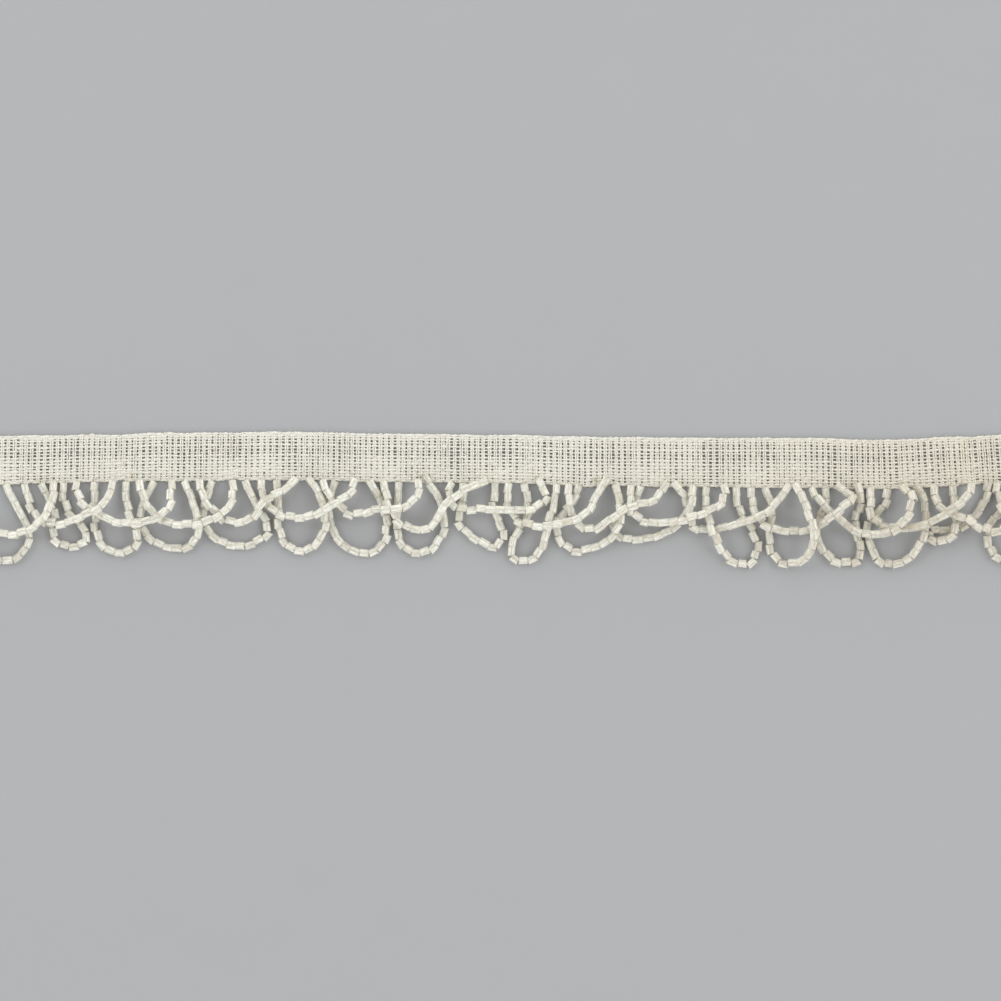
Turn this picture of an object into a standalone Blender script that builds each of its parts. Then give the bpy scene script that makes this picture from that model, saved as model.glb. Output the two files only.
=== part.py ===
"""Beaded loop fringe, lying flat on a surface.

A woven tape carries strands of short tube beads along its lower edge. The strands hang in two sizes
of loop that alternate, a wide one and a long one, and neighbouring loops lie across each other.

X runs along the tape, Y across it towards its plain edge, and Z up. The origin is under the middle
of the whole piece. The tables and sizes below are in millimetres, and make_object turns them into
metres.
"""
from collections import namedtuple

import bmesh
import bpy
import numpy

METRES = 0.001

# Tape
TAPE_LENGTH = 288.25
TAPE_THICKNESS = 1.0
TAPE_STEP = 4.8

# Strip at the tape's lower edge that the strands are fused into
STRIP_WIDTH = 1.2
PARTING_GAP = 0.3

# Strands, four-sided, with one step for each bead
STRAND_WIDTH = 1.75
STRAND_HEIGHT = 1.75
BEAD_PITCH = 2.42
CROSSING_GAP = 0.3
SIDE_GAP = 0.2
STEEPEST_SLOPE = 0.7
STRAIGHT_LENGTH_AT_ROOT = 2.0
SHARPEST_MITRE = 1.35

# How finely a strand is followed, and how near two places on one strand may lie without crossing
CURVE_STEPS = 24
PROBES_PER_BEAD = 5
BEADS_TOO_CLOSE_TO_CROSS = 2
LIFTING_ROUNDS = 200
SETTLING_ROUNDS = 40

# The tape's edges, as heights over the line that the strands hang from, at places along the tape
TapeSection = namedtuple("TapeSection", "along upper lower")
TAPE_SECTIONS = [
    TapeSection(0.0, 11.5, -0.5),
    TapeSection(12.5, 11.5, -0.5),
    TapeSection(37.5, 11.75, 0.0),
    TapeSection(55.0, 12.25, 0.25),
    TapeSection(85.0, 12.5, 0.5),
    TapeSection(112.5, 12.0, 0.0),
    TapeSection(137.5, 11.75, -0.25),
    TapeSection(162.5, 11.25, -1.0),
    TapeSection(187.5, 11.0, -1.25),
    TapeSection(212.5, 11.0, -1.5),
    TapeSection(232.5, 10.5, -1.75),
    TapeSection(252.5, 11.25, -1.0),
    TapeSection(262.75, 11.75, -0.5),
    TapeSection(288.25, 11.75, -0.25),
]

# One row for each loop. The left root is a place along the tape. The six turning points go down the
# left leg, across the base and up the right leg, each as the distance to the right of the left root
# and the drop below the line. The span is the distance between the two roots.
Loop = namedtuple(
    "Loop", "root left_upper left_lower base_left base_right right_lower right_upper span")

WIDE_LOOPS = [
    Loop(3.25, (0.5, 4.5), (2.5, 9.25), (6.5, 12), (15, 12.75), (20.5, 8.75), (22.75, 3.5), 23),
    Loop(18.75, (1, 4.5), (3.25, 9.25), (6.75, 10.5), (12.75, 9.25), (18.75, 6.5), (21, 4), 22),
    Loop(32.25, (-0.5, 3.25), (3.25, 6.75), (8.25, 9.75), (15.25, 10.25), (21.25, 8), (23.25, 4.5), 23.25),
    Loop(47.75, (0.75, 4), (3.75, 8.5), (7.75, 10.5), (14.75, 10.25), (20.75, 7.5), (23.25, 4), 22.75),
    Loop(62.75, (0.75, 4), (3.75, 7.75), (7.5, 10.25), (12.75, 9), (16, 4.5), (19.75, 2.75), 23.5),
    Loop(78, (0.25, 3.5), (2.25, 6.5), (6.25, 8.75), (12.25, 8.5), (17.25, 6), (22.25, 2.75), 23.5),
    Loop(93.25, (1.25, 2.75), (4, 6), (7.25, 8.25), (14, 7), (20, 6.5), (24, 3), 24),
    Loop(108.5, (0.75, 3.75), (2.5, 8.5), (6.75, 11.75), (11.5, 11.5), (15, 6), (18.75, 2.75), 24.25),
    Loop(125.5, (-1, 3), (1.25, 6.5), (6.5, 6.75), (15, 7), (21, 6.5), (23.75, 3.25), 22.25),
    Loop(139.75, (-0.5, 4.5), (1, 8.75), (6.25, 10.75), (14, 10.25), (19.75, 7.5), (22.25, 2.75), 23.25),
    Loop(154.75, (-0.25, 3.75), (1, 8.75), (4.75, 12.25), (10.5, 9), (15.25, 6), (21.5, 4.5), 23.75),
    Loop(170.25, (-0.25, 3.75), (-0.25, 7.5), (3.5, 10), (12.25, 9.5), (19.75, 7), (23.5, 4.5), 22.75),
    Loop(186, (-0.5, 5), (-1, 10.5), (2, 12.25), (12, 10), (18.5, 7.25), (22, 3.25), 23.25),
    Loop(200.5, (0, 5.25), (2, 9.75), (6.75, 12), (14, 11.75), (21.25, 7.5), (25.25, 3.5), 22.25),
    Loop(215.75, (1, 4), (5.75, 8.5), (11, 12.5), (18.75, 12.5), (23.5, 8.5), (24.5, 3.5), 23),
    Loop(230.25, (-0.25, 5.25), (0.25, 9.25), (4, 11.25), (12.75, 10.75), (18.75, 7.5), (23.75, 3.5), 24.5),
    Loop(246.25, (0, 4.5), (2.25, 7.25), (6.75, 8.75), (13.75, 12.25), (20.25, 9.5), (23.25, 4.5), 23.75),
    Loop(262, (-0.25, 3.75), (1.75, 8.25), (6.75, 11.25), (14.5, 11), (20, 7.75), (22.75, 3.75), 23),
]

LONG_LOOPS = [
    Loop(6.25, (0.25, 6.25), (1, 14.5), (4.75, 19), (10, 19.25), (13.75, 13.5), (10, 5.25), 7.75),
    Loop(23, (3.25, 8), (2.5, 13), (5.75, 16), (11.25, 15), (10.75, 11.75), (5.75, 6.25), 5.5),
    Loop(36.25, (-0.25, 5.75), (0.5, 13.5), (3.25, 17), (8.75, 17.25), (10.75, 13.75), (8, 5.25), 7.75),
    Loop(51, (-2.25, 4.25), (-3.5, 10), (0.25, 15), (8, 16.5), (11.25, 12.25), (10, 5.5), 7.75),
    Loop(65.75, (-1.75, 4.5), (-2.25, 10), (1.25, 14.75), (8.5, 15.75), (14, 12.25), (10.75, 5.75), 8),
    Loop(81.75, (0.5, 6), (0.5, 12.5), (3.25, 16.5), (7.75, 17), (12, 11.5), (11.25, 4.25), 8.25),
    Loop(96.25, (-1.75, 5.5), (-0.5, 12), (2.75, 16.25), (9, 17.75), (13, 13.25), (11.75, 5.5), 8.75),
    Loop(112.25, (-0.25, 5.25), (-0.25, 13.25), (2.25, 17.25), (7.25, 17.5), (11.25, 12), (10, 4), 7.25),
    Loop(128.5, (-0.5, 5), (-1.5, 9.5), (2.5, 14), (8.25, 16.5), (9.75, 13.25), (7.5, 6.5), 7.75),
    Loop(143.5, (1, 7.25), (-2.5, 13.75), (-2.75, 19.25), (3, 18.75), (5.75, 12), (7.75, 4), 8),
    Loop(157.5, (-2, 5.25), (-6, 10), (-3, 16.75), (5.5, 15.5), (10, 10.25), (9.75, 4.5), 9),
    Loop(173, (-2, 5), (-7.5, 9.75), (-5.75, 13.75), (4, 13.5), (9.5, 10), (11.5, 5), 8.5),
    Loop(189, (-0.25, 5.5), (2, 13), (5.75, 19.5), (11, 20.5), (12.75, 14.5), (8.25, 7), 7.5),
    Loop(203.5, (2, 7), (1.25, 12.75), (3, 19.25), (9, 20), (12.25, 14.5), (10, 5.25), 8.25),
    Loop(219, (0, 5), (-2.5, 12.75), (1.75, 19.75), (8.25, 19.25), (7.25, 9.75), (8.75, 4.25), 8),
    Loop(234.5, (-1, 5.5), (-5, 11), (-2, 20), (4.25, 19.75), (8.25, 14.5), (9.25, 5.5), 7.25),
    Loop(250.75, (0, 6.5), (0.75, 12.25), (-3.75, 14.75), (-6.75, 12.75), (2.25, 11.25), (7.25, 6), 8.75),
    Loop(265.5, (-1, 5.25), (-5.75, 11.5), (-4.75, 18.25), (3, 19.5), (8, 14.5), (9, 5.75), 8.25),
]

# A wide loop lies over a long one, and of two like loops the one further left lies on top. These
# legs of long loops lie over the wide loop of their own row all the same.
LEGS_ON_TOP = {("long", 12, "left"), ("long", 13, "right")}

Strand = namedtuple("Strand", "kind row joints")


def tape_edge(along, side):
    """Return the height of the upper or lower edge at a place along the tape, eased between sections."""
    for before, after in zip(TAPE_SECTIONS, TAPE_SECTIONS[1:]):
        if along <= after.along:
            break
    part_way = (along - before.along) / (after.along - before.along)
    eased = part_way * part_way * (3.0 - 2.0 * part_way)
    start = getattr(before, side)
    return start + (getattr(after, side) - start) * eased


def curve_through(points):
    """Return points close together on a smooth curve through all of the points but the first and last."""
    curve = []
    for before, start, end, after in zip(points, points[1:], points[2:], points[3:]):
        span_before = numpy.sqrt(numpy.linalg.norm(start - before))
        span = numpy.sqrt(numpy.linalg.norm(end - start))
        span_after = numpy.sqrt(numpy.linalg.norm(after - end))
        rate_before = (start - before) / span_before
        rate = (end - start) / span
        rate_after = (after - end) / span_after
        leaving = rate + rate_before - (end - before) / (span_before + span)
        arriving = rate + rate_after - (after - start) / (span + span_after)
        for step in range(CURVE_STEPS):
            t = step / CURVE_STEPS
            curve.append(
                start * (2 * t**3 - 3 * t**2 + 1)
                + end * (3 * t**2 - 2 * t**3)
                + leaving * span * (t**3 - 2 * t**2 + t)
                + arriving * span * (t**3 - t**2))
    curve.append(points[-2])
    return numpy.array(curve)


def strand_from(kind, row, loop):
    """Return a loop as a strand whose joints are one bead apart, in millimetres on the flat."""
    right_root = loop.root + loop.span
    turning_points = [
        (loop.root + sideways, -drop)
        for sideways, drop in (
            loop.left_upper, loop.left_lower, loop.base_left,
            loop.base_right, loop.right_lower, loop.right_upper)
    ]
    left_end = (loop.root, tape_edge(loop.root, "lower"))
    right_end = (right_root, tape_edge(right_root, "lower"))
    above_left = (left_end[0], left_end[1] + STRAIGHT_LENGTH_AT_ROOT)
    above_right = (right_end[0], right_end[1] + STRAIGHT_LENGTH_AT_ROOT)
    points = numpy.array([above_left, left_end, *turning_points, right_end, above_right])
    curve = curve_through(points)
    step_lengths = numpy.linalg.norm(numpy.diff(curve, axis=0), axis=1)
    travelled = numpy.concatenate([[0.0], numpy.cumsum(step_lengths)])
    beads = round(travelled[-1] / BEAD_PITCH)
    stops = numpy.linspace(0.0, travelled[-1], beads + 1)
    joints = numpy.column_stack([numpy.interp(stops, travelled, curve[:, axis]) for axis in (0, 1)])
    return Strand(kind, row, joints)


def all_strands():
    """Return every strand, the wide ones first."""
    wide = [strand_from("wide", row, loop) for row, loop in enumerate(WIDE_LOOPS)]
    long = [strand_from("long", row, loop) for row, loop in enumerate(LONG_LOOPS)]
    return wide + long


def lies_over(strand, bead, other, other_bead):
    """Say whether a bead of one strand passes over a bead of another, or of the same one."""
    if strand is other:
        return bead < other_bead
    if strand.kind == other.kind:
        return strand.row < other.row
    long_strand, long_bead = (strand, bead) if strand.kind == "long" else (other, other_bead)
    leg = "left" if long_bead < len(long_strand.joints) / 2 else "right"
    own_row = strand.row == other.row
    long_on_top = own_row and ("long", long_strand.row, leg) in LEGS_ON_TOP
    return long_on_top == (strand.kind == "long")


def crossing_probes(strands):
    """Return where strands lie over each other, as four arrays with an entry for each probe.

    A probe is a place under a bead, on its middle line or at one side, that has another bead below
    it. The arrays hold the upper bead's first joint in the run of all joints, how far along that bead
    the probe is, and the same two for the lower bead.
    """
    starts, ends, owners, joint_numbers = [], [], [], []
    first_joint = 0
    for strand in strands:
        for bead in range(len(strand.joints) - 1):
            starts.append(strand.joints[bead])
            ends.append(strand.joints[bead + 1])
            owners.append((strand, bead))
            joint_numbers.append(first_joint + bead)
        first_joint += len(strand.joints)
    starts = numpy.array(starts)
    along = numpy.array(ends) - starts
    squared_lengths = (along**2).sum(axis=1)
    reach = STRAND_WIDTH / 2 + SIDE_GAP
    probes = []
    for number, (strand, bead) in enumerate(owners):
        to_side = numpy.array([-along[number][1], along[number][0]]) / numpy.sqrt(squared_lengths[number])
        for probe in range(PROBES_PER_BEAD):
            fraction = (probe + 0.5) / PROBES_PER_BEAD
            for side in (-STRAND_WIDTH / 2, 0.0, STRAND_WIDTH / 2):
                place = starts[number] + along[number] * fraction + to_side * side
                others = numpy.clip(((place - starts) * along).sum(axis=1) / squared_lengths, 0.0, 1.0)
                distances = numpy.linalg.norm(starts + along * others[:, None] - place, axis=1)
                for other_number in numpy.nonzero(distances < reach)[0]:
                    other, other_bead = owners[other_number]
                    if strand is other and abs(bead - other_bead) <= BEADS_TOO_CLOSE_TO_CROSS:
                        continue
                    if lies_over(strand, bead, other, other_bead):
                        probes.append((
                            joint_numbers[number], fraction,
                            joint_numbers[other_number], others[other_number]))
    upper_joint, upper_fraction, lower_joint, lower_fraction = numpy.array(probes).T
    return upper_joint.astype(int), upper_fraction, lower_joint.astype(int), lower_fraction


def strand_heights(strands, layer):
    """Return the height of the underside at each joint of each strand.

    Strands rest on the surface. Where one passes over another its beads are lifted by a layer, and
    it comes down again no more steeply than the steepest slope. Then each joint settles as low as
    the strands under it allow.
    """
    joint, fraction, under_joint, under_fraction = crossing_probes(strands)
    counts = [len(strand.joints) for strand in strands]
    firsts = numpy.concatenate([[0], numpy.cumsum(counts)])
    heights = numpy.zeros(firsts[-1])
    steepest_drop = STEEPEST_SLOPE * BEAD_PITCH
    evenness = (1 - fraction) ** 2 + fraction**2

    def least_heights():
        under = heights[under_joint] * (1 - under_fraction) + heights[under_joint + 1] * under_fraction
        return under + layer

    for _ in range(LIFTING_ROUNDS):
        short_by = least_heights() - heights[joint] * (1 - fraction) - heights[joint + 1] * fraction
        lift = numpy.zeros(len(heights))
        numpy.maximum.at(lift, joint, short_by * (1 - fraction) / evenness)
        numpy.maximum.at(lift, joint + 1, short_by * fraction / evenness)
        heights += lift
        for first, end in zip(firsts, firsts[1:]):
            heights[first] = heights[end - 1] = 0.0
            for number in range(first + 1, end - 1):
                heights[number] = max(heights[number], heights[number - 1] - steepest_drop)
            for number in range(end - 2, first, -1):
                heights[number] = max(heights[number], heights[number + 1] - steepest_drop)

    numbers = numpy.arange(len(heights))
    is_root = numpy.isin(numbers, firsts) | numpy.isin(numbers + 1, firsts)
    for settling_round in range(SETTLING_ROUNDS):
        least = least_heights()
        lowest = numpy.zeros(len(heights))
        numpy.maximum.at(lowest, joint, (least - heights[joint + 1] * fraction) / (1 - fraction))
        numpy.maximum.at(lowest, joint + 1, (least - heights[joint] * (1 - fraction)) / fraction)
        numpy.maximum.at(lowest, numbers[1:], heights[:-1] - steepest_drop)
        numpy.maximum.at(lowest, numbers[:-1], heights[1:] - steepest_drop)
        moves = (numbers % 2 == settling_round % 2) & ~is_root
        heights[moves] = numpy.minimum(heights[moves], lowest[moves])
    return [heights[first:end] for first, end in zip(firsts, firsts[1:])]


def strand_rings(strand, heights):
    """Return the four corners at each joint between the two roots, mitred where the strand turns."""
    rings = []
    for number in range(1, len(strand.joints) - 1):
        arriving = strand.joints[number] - strand.joints[number - 1]
        leaving = strand.joints[number + 1] - strand.joints[number]
        arriving = arriving / numpy.linalg.norm(arriving)
        leaving = leaving / numpy.linalg.norm(leaving)
        along = (arriving + leaving) / numpy.linalg.norm(arriving + leaving)
        mitre = min(SHARPEST_MITRE, 1.0 / float(along @ leaving))
        to_left = numpy.array([-along[1], along[0]]) * STRAND_WIDTH / 2 * mitre
        left = strand.joints[number] + to_left
        right = strand.joints[number] - to_left
        low = heights[number]
        high = low + STRAND_HEIGHT
        rings.append([(*left, low), (*right, low), (*right, high), (*left, high)])
    return rings


def fringe_mesh(strands, heights):
    """Return the corners and faces of the strip with every strand fused into its front face."""
    root_sides = {}
    for strand in strands:
        for end in (0, -1):
            root = strand.joints[end][0]
            root_sides[(strand.kind, strand.row, end)] = (root - STRAND_WIDTH / 2, root + STRAND_WIDTH / 2)
    root_starts = {sides[0] for sides in root_sides.values()}
    stations = sorted({side for sides in root_sides.values() for side in sides} | {0.0, TAPE_LENGTH})
    corners, faces = [], []
    first_corner = {}
    for along in stations:
        front = tape_edge(along, "lower")
        back = front + STRIP_WIDTH
        first_corner[along] = len(corners)
        corners += [
            (along, front, 0.0), (along, back, 0.0),
            (along, back, TAPE_THICKNESS), (along, front, TAPE_THICKNESS)]
    for left, right in zip(stations, stations[1:]):
        a = first_corner[left]
        b = first_corner[right]
        sides = [(0, 1), (1, 2), (2, 3)]
        if left not in root_starts:
            sides.append((3, 0))
        faces += [(a + low, a + high, b + high, b + low) for low, high in sides]
    first = first_corner[stations[0]]
    last = first_corner[stations[-1]]
    faces += [(first, first + 3, first + 2, first + 1), (last, last + 1, last + 2, last + 3)]

    for strand, strand_height in zip(strands, heights):
        from_left, from_right = (first_corner[side] for side in root_sides[(strand.kind, strand.row, 0)])
        to_left, to_right = (first_corner[side] for side in root_sides[(strand.kind, strand.row, -1)])
        ring = [from_right, from_left, from_left + 3, from_right + 3]
        for ring_corners in strand_rings(strand, strand_height):
            next_ring = list(range(len(corners), len(corners) + 4))
            corners += ring_corners
            faces += join_rings(ring, next_ring)
            ring = next_ring
        faces += join_rings(ring, [to_left, to_right, to_right + 3, to_left + 3])
    return corners, faces


def join_rings(ring, next_ring):
    """Return the four faces between two rings of four corners."""
    return [
        (ring[side], ring[(side + 1) % 4], next_ring[(side + 1) % 4], next_ring[side])
        for side in range(4)
    ]


def tape_mesh():
    """Return the corners and faces of the tape above the strip, with its uneven edges."""
    steps = round(TAPE_LENGTH / TAPE_STEP)
    corners, faces = [], []
    for step in range(steps + 1):
        along = TAPE_LENGTH * step / steps
        front = tape_edge(along, "lower") + STRIP_WIDTH + PARTING_GAP
        back = tape_edge(along, "upper")
        corners += [
            (along, front, 0.0), (along, back, 0.0),
            (along, back, TAPE_THICKNESS), (along, front, TAPE_THICKNESS)]
        if step:
            before = len(corners) - 8
            faces += join_rings(list(range(before, before + 4)), list(range(before + 4, before + 8)))
    last = len(corners) - 4
    faces += [(0, 3, 2, 1), (last, last + 1, last + 2, last + 3)]
    return corners, faces


def plain_material(name, colour, roughness):
    """Return a Principled material of one colour."""
    material = bpy.data.materials.new(name)
    material.use_nodes = True
    shader = material.node_tree.nodes["Principled BSDF"]
    shader.inputs["Base Color"].default_value = (*colour, 1.0)
    shader.inputs["Roughness"].default_value = roughness
    shader.inputs["Metallic"].default_value = 0.0
    return material


def make_object(name, corners, faces, material, place):
    """Make an object in metres from corners in millimetres, with its faces pointing out."""
    mesh = bpy.data.meshes.new(name)
    mesh.from_pydata([[value * METRES for value in corner] for corner in corners], [], faces)
    shape = bmesh.new()
    shape.from_mesh(mesh)
    bmesh.ops.recalc_face_normals(shape, faces=shape.faces)
    shape.to_mesh(mesh)
    shape.free()
    mesh.materials.append(material)
    made = bpy.data.objects.new(name, mesh)
    made.location = [value * METRES for value in place]
    bpy.context.collection.objects.link(made)
    return made


def build():
    """Clear the scene and make the tape and the fringe, with the origin under their middle."""
    for old in list(bpy.data.objects):
        bpy.data.objects.remove(old, do_unlink=True)
    strands = all_strands()
    heights = strand_heights(strands, STRAND_HEIGHT + CROSSING_GAP)
    tape_corners, tape_faces = tape_mesh()
    fringe_corners, fringe_faces = fringe_mesh(strands, heights)
    highest = max(corner[1] for corner in tape_corners)
    lowest = min(corner[1] for corner in fringe_corners)
    place = (-TAPE_LENGTH / 2, -(highest + lowest) / 2, 0.0)
    cotton = plain_material("cotton_tape", (0.80, 0.77, 0.70), 0.9)
    beads = plain_material("ivory_beads", (0.82, 0.80, 0.73), 0.35)
    make_object("tape", tape_corners, tape_faces, cotton, place)
    make_object("bead_fringe", fringe_corners, fringe_faces, beads, place)


build()
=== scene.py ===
"""The looks of the beaded loop fringe: its tube beads, the thread they are strung on and the woven tape.

X runs along the tape, Y across it towards its plain edge, and Z up. The tables and sizes of the
fringe are in millimetres, as in the source of its solids, and the settings and meshes in metres.
"""
import functools
import math
from collections import namedtuple

import bpy
import numpy
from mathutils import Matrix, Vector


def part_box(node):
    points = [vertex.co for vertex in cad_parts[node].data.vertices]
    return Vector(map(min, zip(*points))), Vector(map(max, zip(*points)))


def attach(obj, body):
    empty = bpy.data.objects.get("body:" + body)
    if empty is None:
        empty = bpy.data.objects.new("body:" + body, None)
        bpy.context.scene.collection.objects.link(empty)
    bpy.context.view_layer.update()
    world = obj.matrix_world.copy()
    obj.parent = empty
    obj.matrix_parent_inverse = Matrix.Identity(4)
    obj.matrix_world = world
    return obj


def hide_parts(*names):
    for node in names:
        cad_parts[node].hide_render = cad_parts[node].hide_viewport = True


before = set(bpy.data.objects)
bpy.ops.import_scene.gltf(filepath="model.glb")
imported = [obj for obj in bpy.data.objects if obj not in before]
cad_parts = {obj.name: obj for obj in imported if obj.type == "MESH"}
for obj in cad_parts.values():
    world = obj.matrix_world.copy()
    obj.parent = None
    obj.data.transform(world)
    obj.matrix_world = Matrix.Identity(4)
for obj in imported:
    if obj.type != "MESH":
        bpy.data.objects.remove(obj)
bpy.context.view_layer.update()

bl_info = {
    "name": "Beaded loop fringe",
    "version": (1, 0, 0),
    "blender": (4, 5, 0),
    "location": "3D View > Sidebar > Fringe",
    "description": "Lays loops of tube beads along a woven cotton tape",
    "category": "Object",
}

METRES = 0.001

# A seed for each run of random draws
SEEDS = {"lengths": 21, "wide": 5, "long": 6, "thread": 8, "tape": 12}

# Tape
TAPE_LENGTH = 288.25
TAPE_STEP = 4.8
TAPE_STEPS = round(TAPE_LENGTH / TAPE_STEP)

# Strands
BEAD_PITCH = 2.42
SIDE_GAP = 0.05
STRAIGHT_LENGTH_AT_ROOT = 2.0
CURVE_STEPS = 24
PROBES_PER_BEAD = 5
BEADS_TOO_CLOSE_TO_CROSS = 2
LAST_BEADS_ON_TAPE = 3
SETTLING_ROUNDS = 900
SAG_PER_BEAD = 0.07
MOST_DROP = 0.85
MOST_DROP_AT_ROOT = 1.30

# The tape's edges, as heights over the line that the strands hang from, at places along the tape
TapeSection = namedtuple("TapeSection", "along upper lower")
TAPE_SECTIONS = [TapeSection(*row) for row in [
    (0.0, 11.5, -0.5),
    (12.5, 11.5, -0.5),
    (37.5, 11.75, 0.0),
    (55.0, 12.25, 0.25),
    (85.0, 12.5, 0.5),
    (112.5, 12.0, 0.0),
    (137.5, 11.75, -0.25),
    (162.5, 11.25, -1.0),
    (187.5, 11.0, -1.25),
    (212.5, 11.0, -1.5),
    (232.5, 10.5, -1.75),
    (252.5, 11.25, -1.0),
    (262.75, 11.75, -0.5),
    (288.25, 11.75, -0.25),
]]

# One row for each loop. The left root is a place along the tape. The six turning points go down the
# left leg, across the base and up the right leg, each as the distance to the right of the left root
# and the drop below the line. The span is the distance between the two roots. The reach is how far
# the right leg's last bead lies on the tape, where it does.
Loop = namedtuple(
    "Loop",
    "root left_upper left_lower base_left base_right right_lower right_upper span reach")

WIDE_LOOPS = [Loop(*row) for row in [
    (3.25, (0.5, 4.5), (2.5, 9.25), (6.5, 12), (15, 12.75), (20.5, 8.75), (22.75, 3.5), 23, 0),
    (18.75, (1, 4.5), (3.25, 9.25), (6.75, 10.5), (12.75, 9.25), (18.75, 6.5), (21, 4), 22, 0),
    (32.25, (-0.5, 3.25), (3.25, 6.75), (8.25, 9.75), (15.25, 10.25), (21.25, 8), (23.25, 4.5), 23.25, 0),
    (47.75, (0.75, 4), (3.75, 8.5), (7.75, 10.5), (14.75, 10.25), (20.75, 7.5), (23.25, 4), 22.75, 0),
    (62.75, (0.75, 4), (3.75, 7.75), (7.5, 10.25), (12.75, 9), (16, 4.5), (19.75, 2.75), 23.5, 0.5),
    (78, (0.25, 3.5), (2.25, 6.5), (6.25, 8.75), (12.25, 8.5), (17.25, 6), (22.25, 2.75), 23.5, 0.5),
    (93.25, (1.25, 2.75), (4, 6), (7.25, 8.25), (14, 7), (20, 6.5), (24, 3), 24, 0.8),
    (108.5, (0.75, 3.75), (2.5, 8.5), (6.75, 11.75), (11.5, 11.5), (15, 6), (18.75, 2.75), 24.25, 1.6),
    (125.5, (-1, 3), (1.25, 6.5), (6.5, 6.75), (15, 7), (21, 6.5), (23.75, 3.25), 22.25, 1.75),
    (139.75, (-0.5, 4.5), (1, 8.75), (6.25, 10.75), (14, 10.25), (19.75, 7.5), (22.25, 2.75), 23.25, 2.4),
    (154.75, (-0.25, 3.75), (1, 8.75), (4.75, 12.25), (10.5, 9), (15.25, 6), (21.5, 4.5), 23.75, 1.2),
    (170.25, (-0.25, 3.75), (-0.25, 7.5), (3.5, 10), (12.25, 9.5), (19.75, 7), (23.5, 4.5), 22.75, 0.5),
    (186, (-0.5, 5), (-1, 10.5), (2, 12.25), (12, 10), (18.5, 7.25), (22, 3.25), 23.25, 1.0),
    (200.5, (0, 5.25), (2, 9.75), (6.75, 12), (14, 11.75), (21.25, 7.5), (25.25, 3.5), 22.25, 1.4),
    (215.75, (1, 4), (5.75, 8.5), (11, 12.5), (18.75, 12.5), (23.5, 8.5), (24.5, 3.5), 23, 1.0),
    (230.25, (-0.25, 5.25), (0.25, 9.25), (4, 11.25), (12.75, 10.75), (18.75, 7.5), (23.75, 3.5), 24.5, 0.5),
    (246.25, (0, 4.5), (2.25, 7.25), (6.75, 8.75), (13.75, 12.25), (20.25, 9.5), (23.25, 4.5), 23.75, 0),
    (262, (-0.25, 3.75), (1.75, 8.25), (6.75, 11.25), (14.5, 11), (20, 7.75), (22.75, 3.75), 23, 0),
]]

LONG_LOOPS = [Loop(*row) for row in [
    (6.25, (0.25, 6.25), (1, 14.5), (4.75, 19), (10, 19.25), (13.75, 13.5), (10, 5.25), 7.75, 0),
    (23, (3.25, 8), (2.5, 13), (5.75, 16), (11.25, 15), (10.75, 11.75), (5.75, 6.25), 5.5, 0),
    (36.25, (-0.25, 5.75), (0.5, 13.5), (3.25, 17), (8.75, 17.25), (10.75, 13.75), (8, 5.25), 7.75, 0),
    (51, (-2.25, 4.25), (-3.5, 10), (0.25, 15), (8, 16.5), (11.25, 12.25), (10, 5.5), 7.75, 0),
    (65.75, (-1.75, 4.5), (-2.25, 10), (1.25, 14.75), (8.5, 15.75), (14, 12.25), (10.75, 5.75), 8, 0),
    (81.75, (0.5, 6), (0.5, 12.5), (3.25, 16.5), (7.75, 17), (12, 11.5), (11.25, 4.25), 8.25, 0.8),
    (96.25, (-1.75, 5.5), (-0.5, 12), (2.75, 16.25), (9, 17.75), (13, 13.25), (11.75, 5.5), 8.75, 0.4),
    (112.25, (-0.25, 5.25), (-0.25, 13.25), (2.25, 17.25), (7.25, 17.5), (11.25, 12), (10, 4), 7.25, 1.8),
    (128.5, (-0.5, 5), (-1.5, 9.5), (2.5, 14), (8.25, 16.5), (9.75, 13.25), (7.5, 6.5), 7.75, 0),
    (143.5, (1, 7.25), (-2.5, 13.75), (-2.75, 19.25), (3, 18.75), (5.75, 12), (7.75, 4), 8, 0),
    (157.5, (-2, 5.25), (-6, 10), (-3, 16.75), (5.5, 15.5), (10, 10.25), (9.75, 4.5), 9, 0.4),
    (173, (-2, 5), (-7.5, 9.75), (-5.75, 13.75), (4, 13.5), (9.5, 10), (11.5, 5), 8.5, 1.4),
    (189, (-0.25, 5.5), (2, 13), (5.75, 19.5), (11, 20.5), (12.75, 14.5), (8.25, 7), 7.5, 0),
    (203.5, (2, 7), (1.25, 12.75), (3, 19.25), (9, 20), (12.25, 14.5), (10, 5.25), 8.25, 1.0),
    (219, (0, 5), (-2.5, 12.75), (1.75, 19.75), (8.25, 19.25), (7.25, 9.75), (8.75, 4.25), 8, 1.4),
    (234.5, (-1, 5.5), (-5, 11), (-2, 20), (4.25, 19.75), (8.25, 14.5), (9.25, 5.5), 7.25, 0.5),
    (250.75, (0, 6.5), (0.75, 12.25), (-3.75, 14.75), (-6.75, 12.75), (2.25, 11.25), (7.25, 6), 8.75, 0.6),
    (265.5, (-1, 5.25), (-5.75, 11.5), (-4.75, 18.25), (3, 19.5), (8, 14.5), (9, 5.75), 8.25, 0),
]]

# A wide loop lies over a long one, and of two like loops the one further left lies on top. These
# legs of long loops lie over the wide loop of their own row all the same.
LEGS_ON_TOP = {("long", 12, "left"), ("long", 13, "right")}

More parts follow.
